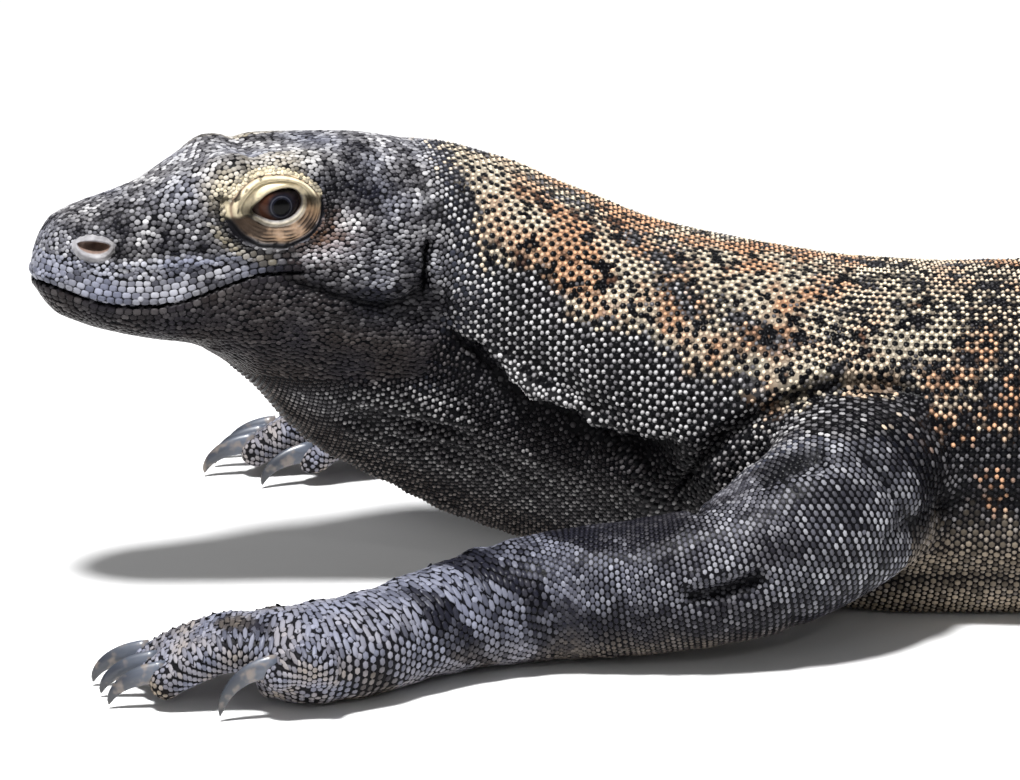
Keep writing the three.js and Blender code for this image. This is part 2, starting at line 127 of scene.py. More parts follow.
def between(rows, keys, places):
    """Rows of numbers at places along the keys, on one smooth cubic curve."""
    rows, keys = np.asarray(rows, float), np.asarray(keys, float)
    places = np.atleast_1d(np.asarray(places, float))
    i = np.clip(np.searchsorted(keys, places, side="right") - 1, 0, len(rows) - 2)
    span = keys[i + 1] - keys[i]
    t = ((places - keys[i]) / span)[:, None]

    def slope(k):
        a, b = np.maximum(k - 1, 0), np.minimum(k + 1, len(rows) - 1)
        return (rows[b] - rows[a]) / (keys[b] - keys[a])[:, None] * span[:, None]

    return curved(rows[i], rows[i + 1], slope(i), slope(i + 1), t)


def unit(vectors):
    return vectors / np.maximum(np.linalg.norm(vectors, axis=-1, keepdims=True), 1e-9)


# %% Tubes
THINNEST = 0.35


def tube(rows, places, sides, square, upright, inset=COAT):
    """Rings of points, starting at the underside, through stations x, y, z, half width, height, depth."""
    keys = np.arange(len(rows))
    got = between(rows, keys, places)
    along = between(rows, keys, places + 0.02)[:, :3] - between(rows, keys, places - 0.02)[:, :3]
    if upright:
        along[:, 2] = 0
    along = unit(along)
    side = unit(np.cross(along, [0, 0, 1.0]))
    up = np.cross(side, along)
    angle = 2 * np.pi * (np.arange(sides) + 0.5) / sides - np.pi / 2
    cos, sin = np.cos(angle), np.sin(angle)
    exponent = np.where(sin > 0, 2 / square[0], 2 / square[1])
    wide = np.maximum(got[:, 3] - inset, THINNEST)
    high = np.maximum(got[:, 4] - inset, THINNEST)
    deep = np.maximum(got[:, 5 if got.shape[1] > 5 else 4] - inset, THINNEST)
    out = wide[:, None] * np.sign(cos) * np.abs(cos) ** exponent
    rise = np.where(sin > 0, high[:, None], deep[:, None]) * np.sign(sin) * np.abs(sin) ** exponent
    return got[:, None, :3] + side[:, None] * out[..., None] + up[:, None] * rise[..., None]


body_cuts = np.linspace(0, len(BODY) - 1, 520)
body_rings = tube(BODY, body_cuts, 72, [2.2, 3], True)
throat_rings = tube(THROAT, np.linspace(0, len(THROAT) - 1, 90), 64, [2, 1.5], True)
square_rings = tube(BODY, body_cuts, 72, [2.2, 3], False)  # square to the path
print("rings", body_rings.shape, throat_rings.shape)

# %% [markdown]
# ## The head's own frame
# The head is turned 16 degrees, so it is shaped in a frame of its own: back from the snout's tip, out to the
# animal's right, and up. Its section runs through named corners, crown, brow, cheek, jaw and chin, because
# those are the edges that a lizard's skull shows through the skin.

# %% The head's frame
YAW, EAR_X, HEAD_LENGTH, HEAD_LEVEL = math.radians(16), -447, 158, 144.5
TURN = np.array([[math.cos(YAW), -math.sin(YAW), 0], [math.sin(YAW), math.cos(YAW), 0], [0, 0, 1]])
SNOUT_PLAN, SNOUT_SIDE, HEAD_BACK = (26, 2), (12, 1.6), (157, 16, 2.4)


def from_head(points):
    return (np.asarray(points, float) - [HEAD_LENGTH, 0, 0]) @ TURN.T + [EAR_X, 0, HEAD_LEVEL]


def to_head(points):
    return (np.asarray(points, float) - [EAR_X, 0, HEAD_LEVEL]) @ TURN + [HEAD_LENGTH, 0, 0]


# %% Head section
def rounding(distance, length, roundness):
    near = np.clip(distance / length, 0, 1)
    return (1 - (1 - near) ** roundness) ** (1 / roundness)


def head_rings(backs, sides, inset=COAT):
    rows = between(HEAD, [row[0] for row in HEAD], backs)
    closed = np.clip((backs - HEAD_BACK[0]) / HEAD_BACK[1], 0, 1)
    closing = (1 - closed ** HEAD_BACK[2]) ** (1 / HEAD_BACK[2])
    wide, high = rounding(backs, *SNOUT_PLAN) * closing, rounding(backs, *SNOUT_SIDE) * closing
    top, brow_out, brow_up, cheek_out, cheek_up, jaw_out, jaw_up, chin = rows[:, 1:].T
    zero = np.zeros(len(backs))
    out = np.stack([zero, brow_out, cheek_out, jaw_out, zero, -jaw_out, -cheek_out, -brow_out], axis=1)
    up = np.stack([top, brow_up, cheek_up, jaw_up, chin, jaw_up, cheek_up, brow_up], axis=1)
    centre = np.where(closing < 1, 10.0, 0.0)[:, None]
    corners = np.stack([out * wide[:, None], centre + (up - centre) * high[:, None]], axis=2)
    corners = np.roll(corners, -4, axis=1)  # the ring starts at the chin
    at = np.arange(sides) / sides * 8
    i, t = at.astype(int), (at % 1)[None, :, None]
    p0, p1, p2, p3 = (corners[:, (i + k) % 8] for k in (-1, 0, 1, 2))
    loop = curved(p1, p2, (p2 - p0) / 2, (p3 - p1) / 2, t)
    loop -= inset * unit(loop - np.stack([0 * centre, centre], axis=2))
    rings = np.concatenate([np.broadcast_to(backs[:, None, None], (len(backs), sides, 1)), loop], axis=2)
    return from_head(rings.reshape(-1, 3)).reshape(rings.shape)


snout = np.array([0.3, 0.8, 1.6, 2.8, 4.5, 6.5, 9]) + COAT * 0.8
head_cuts = np.concatenate([snout, np.linspace(12.5, 157, 76), [160, 163, 166, 168.5, 170.5, 172]])
skull_rings = head_rings(head_cuts, 96)
print("head", skull_rings.shape)

# %% [markdown]
# ## Limbs and digits
# A limb is three tubes that meet in rounded joints, and a hand or foot has five short digits. The right
# limbs are the left ones turned over the middle line and set a little further back, as a resting animal
# rarely lies quite square.

# %% Joints and stations of a limb
def ball(middle, half, sides=24):
    """Rings of points round a ball, for a rounded joint or a digit's tip."""
    turn, tilt = np.meshgrid(2 * np.pi * np.arange(sides) / sides, np.linspace(0.05, np.pi - 0.05, sides // 2))
    shape = np.stack([np.sin(tilt) * np.cos(turn), np.sin(tilt) * np.sin(turn), np.cos(tilt)], axis=2)
    return np.asarray(middle) + shape * half


def placed(limb, side, x, y, share):
    return (x, y) if side == "left" else (x + limb["back"] * share, -(y + limb["closer"] * share))


def limb_rows(limb, side):
    last = limb["cuts"][-1]
    return [[*placed(limb, side, x, y, min(1, i / last)), z, wide, high]
            for i, (x, y, z, wide, high) in enumerate(limb["rows"])]


# %% Stations of a digit
def digit_rows(limb, side, digit):
    """Stations of a digit, its heading and the middle of its claw's root."""
    x, y, heading, length, radius, lift = digit
    turn = math.radians(heading if side == "left" else -heading)
    ahead = np.array([-math.cos(turn), -math.sin(turn), 0])
    root = np.array([*placed(limb, side, x, y, 1), 0.0])
    root_z, knuckle_z, tip_z = limb["rise"][0], limb["rise"][1], limb["rise"][2] + lift
    heights = [root_z, knuckle_z, (knuckle_z + tip_z) / 2, tip_z]
    rows = [[*(root + ahead * length * share + [0, 0, z]), radius * k, radius * k]
            for share, z, k in zip((-0.25, 0.3, 0.75, 1.04), heights, (1.1, 1, 0.96, 0.9))]
    claw_root = root + ahead * (length * 1.04 + 0.3) + [0, 0, tip_z + limb["claw"]["lift"]]
    return rows, ahead, claw_root


# %% Limb tubes
limb_tubes, digit_tubes = {}, {}
limb_shells = []
for kind, limb in LIMBS.items():
    for side in ("left", "right"):
        rows = limb_rows(limb, side)
        stretches = []
        for start, end in zip(limb["cuts"][:-1], limb["cuts"][1:]):
            places = np.linspace(0, end - start, 10 * (end - start))
            stretches.append(tube(rows[start:end + 1], places, 48, [2.2, 2.2], False))
            if end < len(rows) - 1:
                x, y, z, wide, high = rows[end]
                limb_shells.append(ball([x, y, z], min(wide, high) * 0.95 - COAT))
        limb_shells += stretches
        limb_tubes[kind, side] = tube(rows, np.linspace(0.6, len(rows) - 1, 220), 64, [2.2, 2.2], False)
        for number, digit in enumerate(limb["digits"]):
            rows_of, _, _ = digit_rows(limb, side, digit)
            shell = tube(rows_of, np.linspace(0, 3, 24), 24, [2, 2], True)
            tip = rows_of[-1]
            limb_shells += [shell, ball(tip[:3], tip[3] - COAT - 0.3, 16)]
            digit_tubes[kind, side, number] = shell
print("limb shells", len(limb_shells))

# %% [markdown]
# ## One skin
# All these closed shells overlap. A voxel remesh turns them into one watertight skin, as a sculptor blends
# clay limbs into a body. Such a union still has sharp creases where a limb meets the flank, so the hollows
# are then filled softly: each point moves outward while its neighbours lie outside it.

# %% Meshes from rings
def mesh_from(name, points, faces):
    mesh = bpy.data.meshes.new(name)
    mesh.from_pydata([tuple(p) for p in np.asarray(points) * MM], [], faces)
    mesh.update()
    return mesh


def object_from(data):
    """An object in the scene for a mesh, a lamp or a camera."""
    made = bpy.data.objects.new(data.name, data)
    bpy.context.scene.collection.objects.link(made)
    return made


def ring_quads(count, sides):
    """Quads between rings of points that are numbered one after the other."""
    grid = np.arange(count * sides).reshape(count, sides)
    turned = np.roll(grid, -1, axis=1)
    return grid, turned, np.stack([grid[:-1], turned[:-1], turned[1:], grid[1:]], axis=2).reshape(-1, 4)


def shell_faces(rings, offset):
    """Quads along the rings, and a fan on a middle point at each end."""
    grid, turned, quads = (part + offset for part in ring_quads(*rings.shape[:2]))
    ends = grid[-1, -1] + 1
    fans = [[ends, b, a] for a, b in zip(grid[0], turned[0])]
    fans += [[ends + 1, a, b] for a, b in zip(grid[-1], turned[-1])]
    return quads.tolist() + np.array(fans).tolist()


def tubes_mesh(name, tubes):
    """One mesh of several closed tubes."""
    points, faces = [], []
    for rings in tubes:
        faces += shell_faces(rings, sum(len(p) for p in points))
        points += [rings.reshape(-1, 3), rings[:1].mean(axis=1), rings[-1:].mean(axis=1)]
    return mesh_from(name, np.concatenate(points), faces)


# %% Joining the shells
VOXEL = 0.0024
shells = object_from(tubes_mesh("shells", [body_rings, throat_rings, skull_rings, *limb_shells]))
remesh = shells.modifiers.new("one skin", "REMESH")
remesh.mode, remesh.voxel_size = "VOXEL", VOXEL


def applied(thing):
    graph = bpy.context.evaluated_depsgraph_get()
    mesh = bpy.data.meshes.new_from_object(thing.evaluated_get(graph))
    thing.modifiers.clear()
    return mesh


skin_mesh = applied(shells)
bpy.data.objects.remove(shells)
print("voxel skin", len(skin_mesh.vertices), "points", len(skin_mesh.polygons), "faces")

# %% [markdown]
# ## Reading and smoothing a mesh
# Smoothing moves each point towards the mean of its neighbours. Blender has a modifier for it, but here some
# places are smoothed more than others, so the points, edges and normals are read as whole arrays, which is
# far quicker than a loop. Where only the grain of the voxels has to go, each pull inwards is followed by a
# slightly stronger one outwards, so that the body doesn't shrink.

# %% Points, neighbours and normals
def read_vectors(mesh, field):
    got = np.empty(len(mesh.vertices) * 3, np.float32)
    mesh.vertices.foreach_get(field, got)
    return got.reshape(-1, 3).astype(float)


def read_points(mesh):
    return read_vectors(mesh, "co") / MM


def write_points(mesh, points):
    mesh.vertices.foreach_set("co", (points * MM).astype(np.float32).ravel())
    mesh.update()


def read_normals(mesh):
    return read_vectors(mesh, "normal")


def pull(points, edges, degree):
    """From each point to the mean of its neighbours."""
    a, b = edges.T
    count = len(points)
    total = [np.bincount(a, points[b, k], count) + np.bincount(b, points[a, k], count) for k in range(3)]
    return np.stack(total, axis=1) / degree[:, None] - points


EVEN_ROUNDS = 6


def evened(points, edges, degree, share=1.0):
    for turn in range(EVEN_ROUNDS):
        points = points + pull(points, edges, degree) * (0.5 if turn % 2 == 0 else -0.52) * share
    return points


def read_edges(mesh):
    """The pairs of points that are joined, and how many neighbours each point has."""
    got = np.empty(len(mesh.edges) * 2, np.int32)
    mesh.edges.foreach_get("vertices", got)
    edges = got.reshape(-1, 2)
    return edges, np.maximum(np.bincount(edges.ravel(), minlength=len(mesh.vertices)), 1)


# %% Distance from a line
def fade(value, low, high):
    """Rises smoothly from 0 at low to 1 at high."""
    t = np.clip((value - low) / (high - low), 0, 1)
    return t * t * (3 - 2 * t)


def beside(across, up, line):
    """Signed distance from a line in a side view, positive above it, and the share of its length."""
    line = np.asarray(line, float)
    spans = np.linalg.norm(np.diff(line, axis=0), axis=1)
    best = np.full(len(across), 1e9)
    share, sign = np.zeros(len(across)), np.ones(len(across))
    run = 0.0
    for (ax, az), (bx, bz), span in zip(line[:-1], line[1:], spans):
        t = np.clip(((across - ax) * (bx - ax) + (up - az) * (bz - az)) / span ** 2, 0, 1)
        dx, dz = across - ax - t * (bx - ax), up - az - t * (bz - az)
        distance = np.hypot(dx, dz)
        near = distance < best
        best = np.where(near, distance, best)
        share = np.where(near, (run + t * span) / spans.sum(), share)
        sign = np.where(near, np.sign((bx - ax) * dz - (bz - az) * dx), sign)
        run += span
    return best * sign, share


# %% Filling the hollows
FILL_ROUNDS = 44
NECK_FOLD = [  # x and z in the side view
    (-432, 123), (-422, 118), (-412, 112), (-404, 105), (-398, 97), (-394, 91), (-383, 88), (-373, 87), (-365, 79),
    (-354, 78), (-337, 78), (-322, 77),
]
skin_points = read_points(skin_mesh)
edges, degree = read_edges(skin_mesh)
fold, _ = beside(skin_points[:, 0], skin_points[:, 2], NECK_FOLD)
soft = np.where(skin_points[:, 0] < -330, fade(np.abs(fold), 4, 16), 1.0)
for turn in range(FILL_ROUNDS):
    if turn % 4 == 0:
        write_points(skin_mesh, skin_points)
        normals = read_normals(skin_mesh)
    hollow = (pull(skin_points, edges, degree) * normals).sum(axis=1)
    skin_points += normals * (np.maximum(hollow, 0) * 0.7 * soft)[:, None]
skin_points = evened(skin_points, edges, degree)
write_points(skin_mesh, skin_points)
print("softened skin, lowest", round(skin_points[:, 2].min(), 2), "mm")

# %% [markdown]
# ## A finer mesh where the face is
# Lips, an ear slit and the rims of nostrils are only a millimetre or two wide, so the faces of the head are
# divided once more, and those along the lips and at the ear again. The rest of the skin stays coarse.

# %% Lines of the mouth and the ear
MOUTH_POINTS = [(-8, -2.2), (4, -2.9), (13, -5.7), (27, -10), (42, -11.4), (57, -9.8), (73, -4.6), (88, 0.2),
                (108, 1.4)]
MOUTH = between(MOUTH_POINTS, range(9), np.linspace(0, 8, 65))
EAR = [(160, 15), (157.6, 8), (157, -2), (158.5, -10)]

# %% Dividing the head
def divide(mesh, wanted):
    """Splits every face that the test on face centres picks into four."""
    work = bmesh.new()
    work.from_mesh(mesh)
    centres = np.array([face.calc_center_median() for face in work.faces]) / MM
    picked = np.flatnonzero(wanted(centres))
    work.faces.ensure_lookup_table()
    lines = {edge for i in picked for edge in work.faces[i].edges}
    bmesh.ops.subdivide_edges(work, edges=list(lines), cuts=1, use_grid_fill=True)
    bmesh.ops.triangulate(work, faces=[face for face in work.faces if len(face.verts) > 4])
    work.to_mesh(mesh)
    work.free()
    mesh.update()
    return len(picked)


def on_face(centres):
    back, _, up = to_head(centres).T
    return (back < 168) & (up > -46) & (centres[:, 0] < -420) & (back - up * 0.35 < 172)


def at_lips(centres):
    back, _, up = to_head(centres).T
    lip, _ = beside(back, up, MOUTH)
    slit, _ = beside(back, up, EAR)
    return on_face(centres) & ((np.abs(lip) < 3.4) | (np.abs(slit) < 4))


print("faces divided", divide(skin_mesh, on_face), divide(skin_mesh, at_lips))
skin_points = read_points(skin_mesh)
edges, degree = read_edges(skin_mesh)
face_part = on_face(skin_points)[:, None]
skin_points = evened(skin_points, edges, degree, face_part)
write_points(skin_mesh, skin_points)

# %% [markdown]
# ## Folds, lips and wrinkles
# Skin that is loose lies in folds: one long fold along the side of the neck, one in front of the shoulder,
# ridges across the throat. Each is a line in the side view with a rounded profile across it. The same
# function gives how high the skin is raised and how far a place lies down in a crease, where it is painted
# darker as shade.

# %% Waves and bells
rng = np.random.default_rng(11)


def waves(points, size, seed, count=7):
    """A smooth random field of about that feature size in mm, within -1 to 1."""
    source = np.random.default_rng(seed)
    ways = unit(source.normal(size=(count, 3))) * (2 * np.pi / size) * source.uniform(0.7, 1.5, (count, 1))
    phases = source.uniform(0, 2 * np.pi, count)
    return np.sin(points @ ways.T + phases).mean(axis=1) * 1.6


def bell(distance, width):
    return np.exp(-(distance / width) ** 2)


def window(share, ends=0.12):
    return fade(share, 0, ends) * (1 - fade(share, 1 - ends, 1))


# %% Lines of the folds
SHOULDER_FOLD = [(-334, 44), (-327, 57), (-321, 68), (-311, 81), (-297, 91), (-281, 99), (-261, 104), (-240, 103),
                 (-222, 96)]
ELBOW_FOLD = [(-332, 35), (-323, 36), (-313, 38), (-303, 41), (-294, 45)]
# The last column is how dark the hollow under the fold is painted, as its shadow.
FLAPS = [  # line, how far its edge stands out, how deep the hollow under it is, how wide, how dark
    (NECK_FOLD, 3.4, 7.5, 13, 0.95),
    ([(-476, 88), (-458, 84), (-446, 80), (-425, 76), (-414, 75)], 1.5, 2.2, 8, 0.7),
    ([(-458, 72), (-446, 68), (-429, 67), (-415, 65), (-406, 57), (-400, 51), (-391, 47)], 1.6, 2.2, 8, 0.7),
]
# The last column is how dark the line is painted, as the shade in the crease.
BODY_LINES = [  # line, width, height, crease
    (SHOULDER_FOLD, 2.8, -5.4, 1.0),
    ([(-334, 66), (-322, 82), (-300, 98), (-276, 107), (-250, 111)], 4.0, 1.6, 0.0),
    ([(-300, 71), (-293, 76), (-280, 83), (-268, 85)], 4.2, -4.5, 1.0),
    ([(-262, 92), (-246, 74), (-236, 56), (-232, 40)], 3.2, -2.0, 0.6),
    ([(-262, 24), (-245, 34), (-215, 39), (-150, 37), (-60, 32)], 7.0, 2.4, 0.0),
    ([(-266, 12), (-245, 19), (-215, 22), (-150, 20), (-60, 17)], 4.0, -1.6, 0.45),
    ([(-258, 48), (-238, 55), (-205, 57), (-160, 55)], 4.0, -1.8, 0.45),
    ([(-250, 98), (-232, 78), (-221, 58), (-216, 36)], 3.6, -1.6, 0.4),
    ([(-489, 78), (-462, 70), (-430, 56), (-404, 36)], 3.2, 1.5, 0.0),
    ([(-486, 90), (-458, 82), (-424, 66), (-392, 44)], 3.4, 1.3, 0.0),
    ([(-494, 68), (-466, 58), (-440, 44), (-420, 30)], 3.2, 1.3, 0.0),
    ([(-478, 100), (-450, 92), (-415, 76), (-378, 54)], 3.8, 1.3, 0.0),
]
CHEEK_FOLD = [(96, 1.2), (101, -2), (109, -5.2), (118, -8.2), (126, -10.7), (135, -12.8), (143, -13.6),
              (150, -11.7), (155, -7), (157.6, -1)]
LIP_RIDGE = [(24, 7.6), (37, 5.9), (49, 6.5), (61, 6.9), (71, 7), (80, 8.2), (90, 7.4)]
HEAD_LINES = [  # as for the body, in the head's own side view
    (CHEEK_FOLD, 2.6, -2.6, 0.95),
    (LIP_RIDGE, 1.5, 1.3, 0.0),
    ([(24, 11), (37, 9.4), (49, 10), (61, 10.6), (71, 10.6)], 1.4, -0.9, 0.45),
    ([(158.4, 14), (160.2, 20), (160, 28), (158.9, 37), (157, 44)], 1.6, -0.9, 0.55),
    ([(72, 33), (74, 25.4), (75.6, 18.3), (79.8, 11.8), (86, 7.6), (94, 5.6)], 2.4, 1.1, 0.0),
    ([(60, 12), (70, 9), (86, 6), (104, 8), (118, 14)], 2.2, -0.9, 0.5),
    ([(40, 16), (55, 21), (70, 27)], 3.0, -0.8, 0.2),
]
FACE_LUMPS = [  # back, up, size, height
    (58, 19, 13, -1.6), (140, 3, 20, 2.0), (131, 33, 9, -1.4), (76, 5, 12, 0.8),
]
print("lines", len(FLAPS), len(BODY_LINES), len(HEAD_LINES))


# %% Relief
def relief(points):
    """How far the skin is raised, in mm, and how deep in a crease it lies, from 0 to 1, which is painted as shade.
    """
    x, y, z = points.T
    back, out, up = to_head(points).T
    face = on_face(points)
    raised, crease = np.zeros(len(points)), np.zeros(len(points))
    side = fade(np.abs(y), 18, 34)
    for line, lift, drop, reach, dark in FLAPS:
        fold, share = beside(x, z, line)
        held = side * window(share, 0.2) * (x < -318) * (np.abs(y) < 90)
        fold = fold + 0.2 * lift * (np.sin(share * 61) + 0.8 * np.sin(share * 23 + 1) + 0.6 * np.sin(share * 137))
        over = fade(fold, -1.5, 0.8)
        raised += held * over * lift * bell(np.maximum(fold, 0), reach * 0.55)
        raised -= held * (1 - over) * drop * bell(np.minimum(fold, 0), reach)
        crease += held * (1 - over) * dark * bell(np.minimum(fold, 0) + 1, reach * 0.6)
    for line, width, height, dark in BODY_LINES:
        distance, share = beside(x, z, line)
        held = side * window(share, 0.15) * (np.abs(y) < 122)
        raised += held * height * bell(distance, width)
        crease += held * dark * bell(distance, width)
    fold, share = beside(x, z, ELBOW_FOLD)
    held = window(share, 0.16) * (y < -112)
    raised += held * (-6.0 * bell(fold, 3.8) + 2.0 * bell(fold - 7.5, 3.5))
    crease += held * bell(fold, 4.4)
    lip, share = beside(back, up, MOUTH)
    lips = face * fade(share, -0.01, 0.0) * (1 - fade(back, 104, 110)) * (back < 111)
    raised += lips * (-1.9 * bell(lip, 0.65) + 1.0 * bell(lip - 2.6, 1.9) + 0.5 * bell(lip + 2.8, 1.7))
    crease += lips * bell(lip, 0.7)
    for line, width, height, dark in HEAD_LINES:
        distance, share = beside(back, up, line)
        held = face * window(share) * (np.abs(out) > 8)
        raised += held * height * bell(distance, width)
        crease += held * dark * bell(distance, width)
    slit, share = beside(back, up, EAR)
    held = (np.abs(out) > 25) * window(share, 0.2) * (back > 140) * (back < 175)
    raised += held * (-5.0 * bell(slit, 1.7) + 1.0 * bell(np.abs(slit) - 4, 2))
    crease += held * bell(slit, 1.9)
    raised += face * (np.abs(out) > 10) * 1.3 * bell(np.hypot(back - 22.6, up - 13), 9)
    for at_back, at_up, size, height in FACE_LUMPS:
        raised += face * (np.abs(out) > 12) * height * bell(np.hypot((back - at_back) / 1.4, up - at_up), size)
    raised += face * (up > 33) * (1.9 * bell(back - 77, 8) - 1.9 * bell(back - 91, 5)) * (np.abs(out) < 34)
    loose = fade(x, -505, -480) * (1 - fade(x, -330, -290)) * (1 - fade(z, 95, 125))
    stretched = np.stack([x * 0.6, y, z * 1.8], axis=1)
    raised += loose * 0.6 * waves(stretched, 11, 3) + 0.5 * waves(points, 34, 4) * (1 - face)
    flank = fade(x, -230, -170) * (1 - fade(x, 290, 330)) * (np.abs(y) > 30)
    raised += flank * 0.9 * waves(np.stack([x * 1.6, y * 0.6, z * 0.5], axis=1), 30, 5)
    return raised, np.clip(crease, 0, 1)


# %% Raising the skin
raised, _ = relief(skin_points)
skin_points += read_normals(skin_mesh) * raised[:, None]
skin_points += pull(skin_points, edges, degree) * 0.25 * (1 - face_part)
skin_points[:, 2] = np.maximum(skin_points[:, 2], GROUND)
print("relief", round(raised.min(), 1), "to", round(raised.max(), 1), "mm")

# %% [markdown]
# ## Lids and nostrils
# The lids are two stacks of soft folds round a lens-shaped opening. A ring of mesh, fine enough for each
# fold, is laid from the opening's edge, which follows the eyeball, out to the skin of the face. The skin
# under it sinks into a socket. The nostril's collar is the same kind of ring round a small pit.

# %% Places of the eye and nostril
EYE_AT, EYE_RADIUS = np.array([99.5, 19.5, 28.0]), 12.4
LID_AT, LID_HALF, LID_TILT = (96.0, 28.4), (21.8, 15.6, 18.2), math.radians(13)
OPENING_AT, OPENING = (99.8, 28.6), (9.3, 6.7, 6.2)
NOSTRIL_AT, NOSTRIL_HALF = (22.6, 13.6), (9.0, 5.2, 6.8)


def share_of_ring(back, up, at, half):
    """1 on the outer edge of a ring, less within."""
    dx, dy = back - at[0], up - at[1]
    return np.hypot(dx / half[0], dy / np.where(dy > 0, half[1], half[2]))


def lid_share(back, up):
    return share_of_ring(back, up, LID_AT, LID_HALF)


def nostril_share(back, up):
    return share_of_ring(back, up, NOSTRIL_AT, NOSTRIL_HALF)


# %% Reaching the face from the side
def tree_of(points, polygons):
    return BVHTree.FromPolygons([Vector(p) for p in points], polygons)


skin_tree = tree_of(skin_points, [tuple(face.vertices) for face in skin_mesh.polygons])


def cheek_out(back, up, hand):
    """How far out the face lies on one side, at places of the head's own side view."""
    outs = np.full(len(back), np.nan)
    way = Vector(from_head([[0, 0, 0]])[0] - from_head([[0, hand, 0]])[0])
    starts = from_head(np.stack([back, np.full(len(back), hand * 90.0), up], axis=1))
    for i, start in enumerate(starts):
        hit, _, _, _ = skin_tree.ray_cast(Vector(start), way, 85)
        if hit is not None:
            outs[i] = abs(to_head([hit])[0][1])
    good = np.isfinite(outs)
    return np.where(good, outs, np.nanmin(outs) if good.any() else 30.0)


def outer_shape(half, cos, sin):
    """An egg shape with half sizes back, above and below."""
    return np.stack([half[0] * cos, np.where(sin > 0, half[1], half[2]) * sin], axis=1)


def leaned(points, lean):
    c, s = math.cos(lean), math.sin(lean)
    return points @ np.array([[c, s], [-s, c]])


def placed_ring(ring, paint, hand):
    """Points, quads that face outwards on either side of the head, and paint of an open ring."""
    ring[..., 1] *= hand
    _, _, quads = ring_quads(*ring.shape[:2])
    return from_head(ring.reshape(-1, 3)), quads if hand < 0 else quads[:, ::-1], paint.reshape(-1, 3)


# %% Lids
LID_SIDES, LID_ROWS, LINING_ROWS = 144, 46, 3


